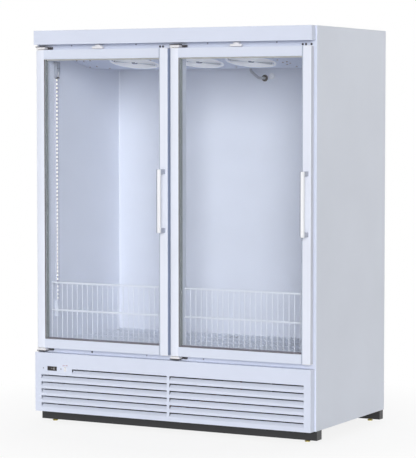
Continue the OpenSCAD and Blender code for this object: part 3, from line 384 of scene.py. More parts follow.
# Finishes of the slots
surface("painted_side", SIDE_PAINT, 0.42, grain=520)
surface("painted_front", (220, 226, 242), 0.4, grain=520)
surface("painted_door", (221, 227, 242), 0.36, grain=520)
galvanised("galvanised", (168, 172, 178))
surface("foam", (228, 214, 164), 0.85, 0.08, 12, 240, 0.001, strength=0.8)
surface("liner_paint", (226, 230, 241), 0.45, grain=420)
# painted shade: the breaker strips darker towards the back
banded("grey_pvc", (222, 226, 234), (212, 217, 228), -0.334, -0.290, 0.42)
surface("black_plastic", (38, 33, 33), 0.3, 0.1)
surface("white_plastic", (236, 235, 237), 0.34)
surface("black_steel", (36, 36, 38), 0.36, 0.06, 3, 300, 0.00006, (0.04, 1, 1))
surface("rubber", (48, 48, 50), 0.75, 0.08, 20, 300, 0.0002)
surface("coil_aluminium", (186, 191, 197), 0.38, 0.05, Metallic=0.8)
# dark shroud: partly its own coat, partly painted shade behind the louver slots
surface("shroud_steel", (46, 47, 51), 0.5, 0.05)
surface("dark_motor", (48, 50, 54), 0.38, 0.08)
surface("fan_grey", (150, 156, 163), 0.35, 0.05, Metallic=0.85)
surface("fan_white", (212, 217, 228), 0.4)
surface("copper", (146, 100, 76), 0.34, 0.12, 25, 300, Metallic=1)
surface("coated_wire", (232, 236, 245), 0.33, grain=400)
surface("hose_grey", (186, 187, 194), 0.55, 0.05, 30)
clear("lamp_diffuser", (0.97, 0.97, 1), 1.2)
surface("holder_grey", (160, 165, 178), 0.45, 0.04)
surface("dark_steel", (66, 62, 66), 0.45, 0.08, 40, Metallic=0.3)
surface("screw_steel", (120, 118, 122), 0.34, 0.1, 60, Metallic=0.9)
surface("brass", (181, 166, 90), 0.3, 0.08, 40, Metallic=0.9)
clear("glass", (0.985, 0.99, 0.995), 1.25)
surface("gasket", (122, 124, 128), 0.6, 0.04, 20, 500)
surface("handle_paint", (250, 251, 254), 0.34, 0.01, grain=520)
surface("nylon", (232, 232, 228), 0.45)

# Finishes of single pieces
surface("plug_dark", (44, 38, 42), 0.4, 0.08)
# painted highlight: the stiles take a lighter copy of the door paint, for the light they catch
surface("stile_painted_highlight", (233, 237, 249), 0.36, grain=520)
# painted shade: grey-blue strip at the handle stile's inner edge, standing for a shadow gap
surface("trim_painted_shade", (180, 188, 203), 0.42)
surface("top_paint", SIDE_PAINT, 0.75, grain=520, Specular_IOR_Level=0.15)
surface("handle_grey", (158, 163, 178), 0.38)
surface("bracket_grey", (182, 187, 202), 0.4)
# painted shade: dark strip for the shadowed gap between the doors
surface("edge_painted_shade", (168, 180, 204), 0.5, 0.04)
surface("edge_pale", (210, 213, 223), 0.5, 0.02)
surface("painted_screw", (150, 152, 165), 0.4, 0.05, 60)
# painted glow: the guard coat gives off a faint light of its own, though it is no lamp
surface("guard_coat_painted_glow", (250, 251, 254), 0.3, 0.01, grain=400, Emission_Strength=0.16,
        Emission_Color=srgb((240, 244, 255)))
surface("cover_paint", (212, 219, 238), 0.45, grain=420)
surface("disc_grey", (124, 130, 146), 0.45, 0.04)
surface("cover_screw", (150, 125, 110), 0.4, 0.08, 60)
surface("glazing_brown", (120, 112, 116), 0.6, 0.08, 30)
# painted highlight and painted shade: pale top and dark bottom copies of the strips round the glass
surface("reveal_painted_highlight", (250, 248, 240), 0.45, 0.01)
surface("reveal_painted_shade", (124, 120, 130), 0.5, 0.04)
surface("spacer_grey", (164, 170, 172), 0.5, 0.04)
surface("profile_grey", (122, 128, 130), 0.45, 0.03)
# painted shade: compartment sheets made dark so the louver slots read as shaded gaps
surface("sheet_painted_shade", (62, 64, 69), 0.5, 0.08, 8)
# black coat of the condenser, partly also painted shade behind the louver slots
surface("fins_black_and_shade", (56, 58, 62), 0.5, 0.08, 12)
surface("mat_dark", (52, 54, 58), 0.8, 0.1, 30, 900, 0.0002, strength=0.8)
surface("grommet_brown", (80, 72, 66), 0.6, 0.08, 30)
surface("cap_white", (250, 251, 254), 0.45, 0.01)
glowing("lamp_lit", (255, 248, 226), 1.2)
surface("lamp_strip", (170, 170, 185), 0.4)
surface("channel_metal", (206, 209, 222), 0.38, Metallic=0.2)
surface("digit_white", (222, 220, 218), 0.4, 0.05, 200)
surface("label_red", (176, 92, 96), 0.5, 0.08, 200)
surface("zinc_screw", (196, 190, 178), 0.3, 0.08, 60, Metallic=0.8)


# ---- mesh building

def evenly(start, end, count):
    """Values from start to end in equal steps."""
    return [start + (end - start) * i / count for i in range(count + 1)]


def new_meshes(count):
    return [bmesh.new() for _ in range(count)]


def arc(middle, radius, start, end, steps=6):
    """Points of a plane arc between two angles in degrees."""
    angles = [radians(angle) for angle in evenly(start, end, steps)]
    return [(middle[0] + radius * cos(a), middle[1] + radius * sin(a)) for a in angles]


def circle(place, radius, height, sides=64):
    """Points of a circle round the Z axis of place."""
    turns = [2 * pi * k / sides for k in range(sides)]
    return [place @ Vector((radius * cos(t), radius * sin(t), height)) for t in turns]


def on_axis(axis, a, b, along):
    """Point from two coordinates across an axis, in the order x, y, z, and one along it."""
    return {"x": (along, a, b), "y": (a, along, b), "z": (a, b, along)}[axis]


def add_loft(bm, rings, joined=False):
    """Skin through rings of points: capped at both ends, or joined back to the first ring."""
    made = [[bm.verts.new(p) for p in ring] for ring in rings]
    pairs = list(zip(made, made[1:])) + ([(made[-1], made[0])] if joined else [])
    for near, far in pairs:
        for i in range(len(near)):
            j = (i + 1) % len(near)
            bm.faces.new((near[i], near[j], far[j], far[i]))
    if not joined:
        bm.faces.new(made[0][::-1])
        bm.faces.new(made[-1])


def add_prism(bm, outline, axis, start, end):
    add_loft(bm, [[on_axis(axis, a, b, along) for a, b in outline] for along in (start, end)])


def add_tube(bm, path, radius, sides=8, joined=False):
    """Round rod along a path."""
    path = [Vector(p) for p in path]
    last = len(path) - 1
    across = None
    rings = []
    for i, here in enumerate(path):
        before = path[i - 1] if i or joined else here
        after = path[(i + 1) % len(path)] if i < last or joined else here
        along = (after - before).normalized()
        across = across or along.orthogonal()
        across = (across - along * across.dot(along)).normalized()
        other = along.cross(across)
        turns = [2 * pi * k / sides for k in range(sides)]
        rings.append([here + (across * cos(t) + other * sin(t)) * radius for t in turns])
    add_loft(bm, rings, joined)


def add_lathe(bm, profile, place, sides=32):
    """Shape turned round the Z axis of place; its profile is (radius, height)."""
    add_loft(bm, [circle(place, radius, height, sides) for radius, height in profile])


def add_box(bm, corner, opposite, edge=0.0, steps=2, place=Matrix.Identity(4)):
    """Box between two opposite corners, with rounded edges."""
    low, high = ([pick(pair) for pair in zip(corner, opposite)] for pick in (min, max))
    made = bmesh.ops.create_cube(bm, size=1.0)["verts"]
    for vert in made:
        vert.co = Vector([low[i] + (vert.co[i] + 0.5) * (high[i] - low[i]) for i in range(3)])
    if edge:
        edges = list({e for vert in made for e in vert.link_edges})
        rounded = bmesh.ops.bevel(bm, geom=edges, offset=edge, segments=steps, profile=0.5, affect="EDGES")
        made = rounded["verts"]
    bmesh.ops.transform(bm, matrix=place, verts=made)


def mitred(section, low, high):
    """Section, of (outwards, y), at the corners of an upright rectangle from its lower left."""
    corners = [(low[0], -1, low[1], -1), (high[0], 1, low[1], -1),
               (high[0], 1, high[1], 1), (low[0], -1, high[1], 1)]
    return [[(x + sx * out, y, z + sz * out) for out, y in section] for x, sx, z, sz in corners]


def add_ring(bm, section, low, high):
    add_loft(bm, mitred(section, low, high), joined=True)


def add_sides(bm, section, low, high, sides):
    """Some sides of such a ring, cut off at its mitres."""
    corners = mitred(section, low, high)
    for side in sides:
        add_loft(bm, [corners[side], corners[(side + 1) % 4]])


def bend(points, radius, steps=6):
    """The same path with its corners rounded."""
    points = [Vector(p) for p in points]
    path = [points[0]]
    for before, here, after in zip(points, points[1:], points[2:]):
        reach = min(radius, (here - before).length * 0.49, (after - here).length * 0.49)
        start = here + (before - here).normalized() * reach
        end = here + (after - here).normalized() * reach
        path += [start * (1 - t) ** 2 + here * 2 * t * (1 - t) + end * t ** 2 for t in evenly(0, 1, steps)]
    return path + [points[-1]]


def at(place, tilt=0.0):
    """Matrix that moves to a place and tilts there round the X axis."""
    return Matrix.Translation(place) @ Matrix.Rotation(tilt, 4, "X")


def facing(direction, place):
    """Matrix that moves to a place, with its Z axis along a direction."""
    return at(place) @ Vector(direction).to_track_quat("Z", "Y").to_matrix().to_4x4()


def add_object(name, data):
    made = bpy.data.objects.new(name, data)
    bpy.context.scene.collection.objects.link(made)
    return made


def add_piece(name, bm, slot=None, body="cabinet", node=None, finish=None, smooth=35, even=False):
    """Piece of a slot's finish or another; where it stands for a CAD node, that gives slot and body."""
    slot = slot or SLOTS[node]
    bmesh.ops.recalc_face_normals(bm, faces=bm.faces)
    mesh = bpy.data.meshes.new(name)
    bm.to_mesh(mesh)
    bm.free()
    piece = add_object(name, mesh)
    mesh.materials.append(MATERIALS[finish or slot])
    mesh.shade_smooth()
    mesh.set_sharp_from_angle(angle=radians(smooth))
    if even:
        piece.modifiers.new("weighted", "WEIGHTED_NORMAL").keep_sharp = True
    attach(piece, NODES[node]["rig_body"] if node else body)
    if node:
        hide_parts(node)
    return piece


def node_mesh(node):
    """A CAD node's own shape as clean faces, to build a piece from."""
    bm = bmesh.new()
    bm.from_mesh(NODES[node].data)
    bmesh.ops.remove_doubles(bm, verts=bm.verts, dist=MERGE)
    bmesh.ops.dissolve_limit(bm, angle_limit=FLAT, verts=bm.verts, edges=bm.edges)
    return bm


def round_edges(bm, edge, steps=2):
    sharp = [e for e in bm.edges if len(e.link_faces) == 2 and e.calc_face_angle() > SHARP]
    bmesh.ops.bevel(bm, geom=sharp, offset=edge, segments=steps, profile=0.5, affect="EDGES",
                    clamp_overlap=True)


def soften(node, edge, steps=2, move=(0, 0, 0), **options):
    """Piece with a CAD node's shape and rounded edges, in place of the node."""
    bm = node_mesh(node)
    bmesh.ops.translate(bm, vec=move, verts=bm.verts)
    round_edges(bm, edge, steps)
    add_piece(node + "_skin", bm, node=node, even=True, **options)


def dress(node, finish=None):
    """Gives a CAD node that stays in view its slot's finish or another."""
    NODES[node].data.materials[0] = MATERIALS[finish or SLOTS[node]]


def cut(piece, cutter):
    """Takes the cutter's shape out of a piece."""
    tool = add_object("cutter", bpy.data.meshes.new("cutter"))
    cutter.to_mesh(tool.data)
    cutter.free()
    boolean = piece.modifiers.new("cut", "BOOLEAN")
    boolean.operation = "DIFFERENCE"
    boolean.solver = "EXACT"
    boolean.object = tool
    shown = piece.evaluated_get(bpy.context.evaluated_depsgraph_get())
    old = piece.data
    piece.data = bpy.data.meshes.new_from_object(shown)
    piece.data.name = old.name
    piece.modifiers.remove(boolean)
    bpy.data.objects.remove(tool)
    bpy.data.meshes.remove(old)


# ---- cabinet

def add_screw(bm, place, out, radius=0.004, height=0.0016):
    """Pan head with a round driver recess; out points away from the sheet."""
    recess = radius * 0.42
    profile = [(radius * 0.9, -0.0004), (radius, height * 0.25), (radius * 0.88, height * 0.7),
               (radius * 0.6, height), (recess, height), (recess * 0.75, height * 0.45),
               (recess * 0.2, height * 0.35)]
    add_lathe(bm, profile, facing(out, place), 16)


def add_rivet(bm, place, radius=0.0032, height=0.0009):
    profile = [(radius, -0.0003), (radius * 0.92, height * 0.4), (radius * 0.6, height * 0.85),
               (radius * 0.15, height)]
    add_lathe(bm, profile, facing(REAR, place), 12)


def build_shell():
    for node in ("side_panel_left", "side_panel_right"):
        soften(node, 0.0004)
    soften("top_panel", 0.0004, slot="painted_side", finish="top_paint")
    soften("face_frame", 0.0004)
    soften("center_mullion", 0.0005)
    soften("header", 0.0014, 3)
    soften("base_rails", 0.0012)
    soften("rear_grille", 0.0003, move=(0, -BACK_SETBACK, 0))
    soften("breaker_strips", 0.0008)
    # sheets in a dark finish that is painted shade behind the louver slots
    dress("compartment_sheets", "sheet_painted_shade")
    dress("liner")


def build_foam():
    """Insulation, drawn back a little where the pressed back sheet needs room."""
    bm = node_mesh("insulation")
    rear = max(vert.co.y for vert in bm.verts)
    for vert in bm.verts:
        if vert.co.y > rear - MERGE:
            vert.co.y -= BACK_SHEET + BEAD_DEPTH + BACK_SETBACK
    add_piece("insulation_foam", bm, node="insulation", smooth=20)


def build_back():
    """Back sheet with upright pressed beads, riveted round its edge."""
    low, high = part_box("back_panel")
    outer = high.y - BACK_SETBACK
    face = [(low.x, outer)]
    for i in range(BEADS):
        x = low.x + (i + 0.5) * (high.x - low.x) / BEADS
        face += [(x - BEAD_HALF, outer), (x - BEAD_HALF * 0.4, outer - BEAD_DEPTH),
                 (x + BEAD_HALF * 0.4, outer - BEAD_DEPTH), (x + BEAD_HALF, outer)]
    face.append((high.x, outer))
    inner = [(x, y - BACK_SHEET) for x, y in reversed(face)]
    bm = bmesh.new()
    add_prism(bm, face + inner, "z", low.z + BEAD_END, high.z - BEAD_END)
    for start, end in ((low.z, low.z + BEAD_END), (high.z - BEAD_END, high.z)):
        add_box(bm, (low.x, outer - BACK_SHEET, start), (high.x, outer, end))
    add_piece("back_sheet", bm, node="back_panel", smooth=8)
    build_rivets(low, high, outer)


def build_rivets(low, high, face):
    columns = evenly(low.x + RIVET_EDGE, high.x - RIVET_EDGE, round((high.x - low.x) / RIVET_PITCH))
    rows = evenly(low.z + RIVET_EDGE, high.z - RIVET_EDGE, round((high.z - low.z) / RIVET_PITCH))
    bm = bmesh.new()
    for x in columns:
        for z in (rows[0], rows[-1]):
            add_rivet(bm, (x, face, z))
    for z in rows[1:-1]:
        for x in (columns[0], columns[-1]):
            add_rivet(bm, (x, face, z))
    low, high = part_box("rear_grille")
    for x in (low.x + RIVET_EDGE, 0, high.x - RIVET_EDGE):
        for z in (low.z + RIVET_EDGE, high.z - RIVET_EDGE):
            add_rivet(bm, (x, face, z), 0.0045)
    add_piece("back_rivets", bm, "screw_steel", finish="zinc_screw")


def build_coves():
    """Sealant fillets in the liner's upright rear corners."""
    low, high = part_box("liner")
    back = high.y - LINER_WALL
    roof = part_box("evaporator_cover")[0].z
    bm = bmesh.new()
    for side in (-1, 1):
        x = side * (high.x - LINER_WALL)
        curve = [(x - side * (COVE - a), back - COVE + b) for a, b in arc((0, 0), COVE, 0, 90)]
        add_prism(bm, [(x, back)] + curve, "z", low.z + LINER_WALL, roof)
    add_piece("liner_sealant", bm, "liner_paint", smooth=60)


# ---- louver panel and controls

def build_louvers():
    """Louver panel; its blades end lower than the solid's, for the photo's wider gaps."""
    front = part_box("louver_panel")[0].y
    near, far = BLADE_TOP_DEPTH
    bm = node_mesh("louver_panel")
    for vert in bm.verts:
        if near < vert.co.y - front < far:
            vert.co.z -= BLADE_TRIM
    round_edges(bm, 0.0004)
    add_piece("louver_panel_skin", bm, node="louver_panel", even=True)


def build_controls():
    soften("switch_bezel", 0.0005)
    low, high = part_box("control_display")
    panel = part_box("louver_panel")[0].y
    glass = low.y + WINDOW_SINK
    rim = DISPLAY_RIM
    rim_bm, window = new_meshes(2)
    section = [(0, panel), (0, low.y + 0.0005), (-0.0005, low.y), (-rim, low.y), (-rim, glass), (-rim, panel)]
    add_ring(rim_bm, section, (low.x, low.z), (high.x, high.z))
    add_piece("display_frame", rim_bm, node="control_display", smooth=50)
    add_box(window, (low.x + rim, glass, low.z + rim), (high.x - rim, high.y, high.z - rim), 0.0002)
    add_piece("display_window", window, "black_plastic", even=True)
    build_digits(low.x + DIGIT_START, glass, (low.z + high.z) / 2)
    build_rocker()
    build_label(panel)


def build_digits(left, face, mid):
    """The reading -12 on the display's window, in bars of seven-segment figures."""
    height, width, bar = DIGIT
    base, top = mid - height / 2, mid + height / 2
    bm = bmesh.new()
    for index, segments in enumerate(("g", "bc", "abged")):
        x = left + index * DIGIT_PITCH
        right = x + width
        bars = {
            "a": (x, right, top - bar, top), "b": (right - bar, right, mid, top),
            "c": (right - bar, right, base, mid), "d": (x, right, base, base + bar),
            "e": (x, x + bar, base, mid), "g": (x, right, mid - bar / 2, mid + bar / 2)}
        for segment in segments:
            x1, x2, z1, z2 = bars[segment]
            add_box(bm, (x1, face - 0.0002, z1), (x2, face + 0.0001, z2), 0.00005, 1)
    add_piece("display_digits", bm, "white_plastic", finish="digit_white")


def build_rocker():
    """Rocker with its I and O marks."""
    soften("rocker_switch", 0.0005)
    joint = JOINTS["rocker_pivot"]
    tilt = radians(joint["range_deg"][1] / 2)
    place = at(joint["pos_m"], tilt)
    ring = place @ at((0, ROCKER_FACE - 0.0003, -0.0042), pi / 2)
    bm = bmesh.new()
    add_tube(bm, circle(ring, 0.0011, 0, 16), 0.00022, 6, True)
    add_box(bm, (-0.00025, ROCKER_FACE - 0.0006, 0.0032), (0.00025, ROCKER_FACE, 0.0054), 0.0001, 1, place)
    add_piece("rocker_marks", bm, "black_plastic", "rocker", finish="plug_dark")


def build_label(face):
    """ON and OFF over the switch, in thin raised print."""
    low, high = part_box("switch_bezel")
    curve = bpy.data.curves.new("switch_words", "FONT")
    curve.body = "ON OFF"
    curve.size = LABEL_SIZE
    curve.extrude = LABEL_THICK
    curve.align_x = "CENTER"
    curve.materials.append(MATERIALS["label_red"])
    words = add_object("switch_words", curve)
    words.matrix_world = at(((low.x + high.x) / 2, face - LABEL_THICK, high.z + LABEL_RISE), pi / 2)
    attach(words, "cabinet")


def screw_spots():
    """Middles of the screws and plugs that share the cabinet_screws node."""
    bm = node_mesh("cabinet_screws")
    groups = {}
    for vert in bm.verts:
        for x, z in groups:
            if hypot(x - vert.co.x, z - vert.co.z) < SCREW_REACH:
                groups[x, z].append(vert.co.copy())
                break
        else:
            groups[vert.co.x, vert.co.z] = [vert.co.copy()]
    bm.free()
    return [sum(group, Vector()) / len(group) for group in groups.values()]


def build_screws():
    """Screws over and under the doors and beside the display, plugs over the handle sides."""
    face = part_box("face_frame")[0].y
    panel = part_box("louver_panel")[0].y
    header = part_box("header")[0].z
    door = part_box("left_door_frame")[0]
    plugs, screws, dark, small = new_meshes(4)
    for x, y, z in screw_spots():
        if y < (face + panel) / 2:
            add_screw(small, (x, panel, z), FRONT, 0.0028, 0.001)
        elif header - PLUG_BAND[0] < z < header - PLUG_BAND[1]:
            add_lathe(plugs, [(0.005, -0.0002), (0.005, 0.0012), (0.0035, 0.002), (0.0008, 0.0023)],
                      facing(FRONT, (x, face, z)), 20)
        elif z < door.z and x < door.x + DARK_SCREW_REACH:
            add_screw(dark, (x, face, z), FRONT, 0.0048)
        else:
            add_screw(screws, (x, face, z), FRONT, 0.0036)
    add_piece("hole_plugs", plugs, node="cabinet_screws", finish="plug_dark")
    add_piece("face_screws", screws, "screw_steel", finish="painted_screw")
    add_piece("dark_screw", dark, "screw_steel", finish="plug_dark")
    add_piece("panel_screws", small, "screw_steel")


# ---- doors

def build_door(side):
    low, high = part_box(side + "_door_frame")
    opening = ((low.x + HINGE_STILE, low.z + RAIL), (high.x - HANDLE_STILE, high.z - RAIL))
    build_stiles(side, low, high)
    build_edge_strip(side, low, high)
    build_rails(side, low, high)
    build_glass(side, low.y + LIP, *opening)
    build_profile(side, *opening)
    build_gasket(side)
    build_handle(side)
    build_bushes(side, low, high)


def door_piece(side, name, bm, slot=None, finish=None, **options):
    return add_piece(f"{side}_{name}", bm, slot, side + "_door", finish=finish, **options)


def stile_outline(width, corner, edge):
    """Section of a stile from its outer edge inwards: rounded corner, flat face, edge at the glass."""
    seat = width - GLASS_SEAT
    outline = arc((corner, corner), corner, 180, 270, 14) + edge
    outline += [(edge[-1][0], LIP), (seat, LIP), (seat, DOOR_DEPTH)]
    return outline + [(CHAMFER, DOOR_DEPTH), (0, DOOR_DEPTH - CHAMFER)]


def build_stiles(side, low, high):
    """Stiles in a lighter copy of the door paint as a painted highlight, with their end caps, the grey trim
    at the glass as painted shade and the bores for the hinge bushes.
    """
    start, end = low.z + CAP, high.z - CAP
    facet = [(HINGE_STILE - FACET, 0), (HINGE_STILE, FACET_DROP)]
    hinge = [(low.x + u, low.y + v) for u, v in stile_outline(HINGE_STILE, HINGE_CORNER, facet)]
    near, far = EDGE_STRIP
    groove = [(0, far), (STRIP_DROP, far), (STRIP_DROP, near), (0, near)]
    outline = stile_outline(HANDLE_STILE, HANDLE_CORNER, [(HANDLE_STILE - TRIM, 0)]) + groove
    handle = [(high.x - u, low.y + v) for u, v in outline]
    handle_stile, trim, hinge_stile, bores, caps = new_meshes(5)
    add_prism(handle_stile, handle, "z", start, end)
    # handle stile in the lighter paint, a painted highlight
    door_piece(side, "handle_stile", handle_stile, "painted_door", "stile_painted_highlight", smooth=STILE_SMOOTH)
    inner = high.x - HANDLE_STILE
    # trim strip coloured as painted shade
    add_box(trim, (inner, low.y + TRIM_DROP, start), (inner + TRIM, low.y + LIP - 0.0001, end), 0.0004)
    door_piece(side, "stile_trim", trim, "painted_door", "trim_painted_shade", even=True)
    add_prism(hinge_stile, hinge, "z", start, end)
    stile = door_piece(side, "hinge_stile", hinge_stile, finish="stile_painted_highlight", node=side + "_door_frame")
    x, y, _ = JOINTS[side + "_door_hinge"]["pos_m"]
    for z in (low.z, high.z):
        add_lathe(bores, [(BUSH_RADIUS, -BUSH_DEPTH), (BUSH_RADIUS, BUSH_DEPTH)], at((x, y, z)))
    cut(stile, bores)
    stile.data.shade_smooth()
    stile.data.set_sharp_from_angle(angle=radians(STILE_SMOOTH))
    for outline in (hinge, handle):
        middle = Vector([sum(places) / len(outline) for places in zip(*outline)])
        shrunk = [tuple(middle + (Vector(point) - middle) * CAP_SHARE) for point in outline]
        for bottom in (low.z, end):
            add_prism(caps, shrunk, "z", bottom, bottom + CAP)
    door_piece(side, "stile_caps", caps, "white_plastic")


def build_edge_strip(side, low, high):
    """Vinyl strip let into the handle side's edge: dark between the doors as painted shade of the gap, pale
    at the other.
    """
    near, far = EDGE_STRIP
    bm = bmesh.new()
    add_box(bm, (high.x - STRIP_DROP - 0.0004, low.y + near + 0.0001, low.z + CAP),
            (high.x - 0.0001, low.y + far - 0.0001, high.z - CAP), 0.0001, 1)
    door_piece(side, "edge_strip", bm, "gasket", "edge_painted_shade" if side == "left" else "edge_pale")


def rail_outline(base, sign, front):
    """Section of a rail in y and z, from its outer edge towards the glass."""
    seat, groove = RAIL - GLASS_SEAT, RAIL - 0.007
    outline = [(0, CHAMFER), (CHAMFER, 0), (DOOR_DEPTH - CHAMFER, 0), (DOOR_DEPTH, CHAMFER),
               (DOOR_DEPTH, seat), (LIP, seat), (LIP, RAIL), (0.002, RAIL), (0.0006, RAIL - 0.0006),
               (0.0002, RAIL - 0.002), (GROOVE / 2, groove + GROOVE / 2), (GROOVE, groove),
               (0, groove - GROOVE)]
    return [(front + v, base + sign * t) for v, t in outline]


def build_rails(side, low, high):
    start = low.x + HINGE_STILE + 0.0002
    end = high.x - HANDLE_STILE - 0.0008
    for name, base, sign in (("bottom_rail", low.z, 1), ("top_rail", high.z, -1)):
        bm = bmesh.new()
        add_prism(bm, rail_outline(base, sign, low.y), "x", start, end)
        door_piece(side, name, bm, "painted_door")


def build_reveal(side, name, slot, section, low, high, upright, node=None, smooth=35):
    """Strips round the opening: the bottom one dark as painted shade, the top one pale as a painted
    highlight, as in the photo.
    """
    parts = (("uprights", UPRIGHTS, upright, node), ("bottom", BOTTOM, "reveal_painted_shade", None),
             ("top", TOP, "reveal_painted_highlight", None))
    for part, sides, finish, stood_for in parts:
        bm = bmesh.new()
        add_sides(bm, section, low, high, sides)
        door_piece(side, f"{name}_{part}", bm, slot, finish, node=stood_for, smooth=smooth)


def build_glass(side, front, low, high):
    """Two panes with ground edges, the spacer between them and the seal round the front one."""
    reach = GLASS_SEAT - SEAT_GAP
    rear = front + PANE + PANE_GAP
    for name, y, node in (("front_pane", front, side + "_door_glass"), ("rear_pane", rear, None)):
        bm = bmesh.new()
        add_box(bm, (low[0] - reach, y, low[1] - reach),
                (high[0] + reach, y + PANE, high[1] + reach), 0.0004, 1)
        door_piece(side, name, bm, "glass", node=node)
    inner, outer = reach - SPACER, reach - 0.003
    near, far = front + PANE + 0.00005, rear - 0.00005
    y1, y2 = near + SPACER_SEAL, far - SPACER_SEAL
    section = [(outer, y1), (inner, y1), (inner, y2), (outer, y2)]
    build_reveal(side, "spacer", "glass", section, low, high, "spacer_grey")
    bm = bmesh.new()
    for y1, y2 in ((near, y1), (y2, far)):
        add_ring(bm, [(reach, y1), (inner + 0.0006, y1), (inner + 0.0006, y2), (reach, y2)], low, high)
    door_piece(side, "spacer_seal", bm, "gasket", "glazing_brown")
    lip = front - LIP
    section = [(0.0002, front - 0.0001), (0.0002, lip + 0.0028), (-0.0004, lip + 0.0026),
               (-0.0010, front - 0.0008), (-0.0012, front - 0.0001)]
    # the top seal takes the pale finish, a painted highlight
    for name, sides, finish in (("glazing_seal", BOTTOM + UPRIGHTS, "glazing_brown"),
                                  ("glazing_seal_top", TOP, "reveal_painted_highlight")):
        bm = bmesh.new()
        add_sides(bm, section, low, high, sides)
        door_piece(side, name, bm, "gasket", finish)


def build_profile(side, low, high):
    """Grey plastic profile behind the glass: rounded towards the opening, with a snap groove."""
    node = side + "_door_profile"
    near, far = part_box(node)
    y1, y2 = near.y, far.y
    edge = -PROFILE_SHOW
    reach = GLASS_SEAT - SEAT_GAP
    section = [(reach, y1 + 0.0001), (edge + 0.002, y1 + 0.0001), (edge + 0.0006, y1 + 0.0008),
               (edge, y1 + 0.002), (edge, y2 - 0.002), (edge + 0.0006, y2 - 0.0006), (edge + 0.002, y2),
               (-0.003, y2), (-0.002, y2 - 0.0015), (0, y2 - 0.0015), (0.001, y2), (reach, y2)]
    build_reveal(side, "profile", "grey_pvc", section, low, high, "profile_grey", node, 40)


def build_gasket(side):
    """Bellows gasket: a foot on the frame, a folded waist and a round magnet sleeve."""
    node = side + "_door_gasket"
    low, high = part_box(node)
    half = [(0, 0.02), (0, 0.2), (-0.18, 0.28), (-0.1, 0.42), (-0.02, 0.55), (0, 0.75), (-0.06, 0.93),
            (-0.16, 1)]
    shares = half + [(-1 - out, share) for out, share in reversed(half)]
    section = [(out * GASKET_WIDTH, low.y + share * (high.y - low.y)) for out, share in shares]
    bm = bmesh.new()
    add_ring(bm, section, (low.x, low.z), (high.x, high.z))
    door_piece(side, "gasket", bm, node=node, smooth=60)


def build_handle(side):
    """White bar with a grey strip along its glass side, on two grey brackets."""
    node = side + "_door_handle"
    low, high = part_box(node)
    back = low.y + HANDLE_BAR
    edge = low.x + HANDLE_STRIP
    left = (low.x + high.x - BRACKET_WIDTH) / 2
    strip, bar, brackets = new_meshes(3)
    add_box(strip, (low.x, low.y + 0.0006, low.z), (edge + 0.002, back, high.z), 0.0006)
    door_piece(side, "handle_strip", strip, finish="handle_grey", node=node, even=True)
    add_box(bar, (edge, low.y, low.z + 0.0002), (high.x, back - 0.0003, high.z - 0.0002), 0.0012)
    door_piece(side, "handle_bar", bar, "handle_paint", even=True)
    for z in (low.z + 0.0002, high.z - BRACKET_HEIGHT - 0.0002):
        add_box(brackets, (left, back - 0.0005, z),
                (left + BRACKET_WIDTH, high.y, z + BRACKET_HEIGHT), 0.0008)
    door_piece(side, "handle_brackets", brackets, "handle_paint", "bracket_grey", even=True)


def build_bushes(side, low, high):
    """Nylon bushes with a thin flange on the stile's ends."""
    x, y, _ = JOINTS[side + "_door_hinge"]["pos_m"]
    bore = PIN_RADIUS + 0.00005
    outer = BUSH_RADIUS - 0.0001
    flange = outer + 0.0012
    end = BUSH_DEPTH - 0.0004
    profile = [(bore, 0.020), (bore, -0.0006), (flange, -0.0006), (flange, -0.0001), (outer, -0.0001),
               (outer, end), (0.001, end), (0.001, 0.020)]
    bm = bmesh.new()
    for z, turn in ((low.z, 0), (high.z, pi)):
        add_lathe(bm, profile, at((x, y, z), turn), 28)
    door_piece(side, "bushes", bm, node=side + "_door_bushes")


def build_hinges():
    soften("hinge_covers", 0.0016, 3)
    soften("hinge_brackets", 0.0008)
    soften("door_switches", 0.0014, 3)


# ---- interior

def fan_place(name):
    """Matrix of a fan in the sloped cover: its Z axis is the fan's axis."""
    joint = JOINTS[name + "_spin"]
    tilt = -atan2(joint["axis"][1], joint["axis"][2])
    return at(joint["pos_m"], tilt)


def add_blades(bm, place, hub, tip, depth, base):
    """Cambered blades that twist from hub to tip and round off at the tip's corners."""
    across, along, wall = 7, 8, 0.0012
    root = hub * 0.94
    for blade in range(BLADES):
        start = blade * 2 * pi / BLADES
        sides = []
        for lift in (-wall / 2, wall / 2):
            grid = []
            for share in evenly(0, 1, across):
                radius = root + (tip - root) * share
                span = radians(58 - 8 * share)
                trim = 0.14 * max(0, share - 0.72) / 0.28
                height = depth * (0.86 - 0.30 * share)
                row = []
                for t in evenly(trim, 1 - trim, along):
                    angle = start + span * (t - 0.5) + 0.10 * share
                    z = base + depth / 2 + height * (t - 0.5) - 0.0022 * sin(pi * t) + lift
                    row.append(bm.verts.new(place @ Vector((radius * cos(angle), radius * sin(angle), z))))
                grid.append(row)
            sides.append(grid)
        skin_blade(bm, sides, across, along)


def skin_blade(bm, sides, across, along):
    """Faces of one blade from its two grids of vertices."""
    under, over = sides
    for i in range(across):
        for j in range(along):
            for grid in (under, over):
                bm.faces.new((grid[i][j], grid[i + 1][j], grid[i + 1][j + 1], grid[i][j + 1]))
        for j in (0, along):
            bm.faces.new((under[i][j], under[i + 1][j], over[i + 1][j], over[i][j]))
    for j in range(along):
        for i in (0, across):
            bm.faces.new((under[i][j], under[i][j + 1], over[i][j + 1], over[i][j]))


def build_evaporator_fans():
    top = FAN_LIFT + FAN_DEPTH
    hub = [(FAN_BORE, top), (FAN_HUB - 0.001, top), (FAN_HUB, top - 0.001), (FAN_HUB, FAN_LIFT + 0.004),
           (FAN_HUB - 0.002, FAN_LIFT + 0.001), (FAN_HUB - 0.006, FAN_LIFT), (FAN_BORE, FAN_LIFT)]
    for name in FANS:
        place = fan_place(name)
        bm = bmesh.new()
        add_lathe(bm, hub, place, 40)
        add_blades(bm, place, FAN_HUB, FAN_RADIUS, FAN_DEPTH, FAN_LIFT)
        add_piece(name + "_rotor", bm, node=name)


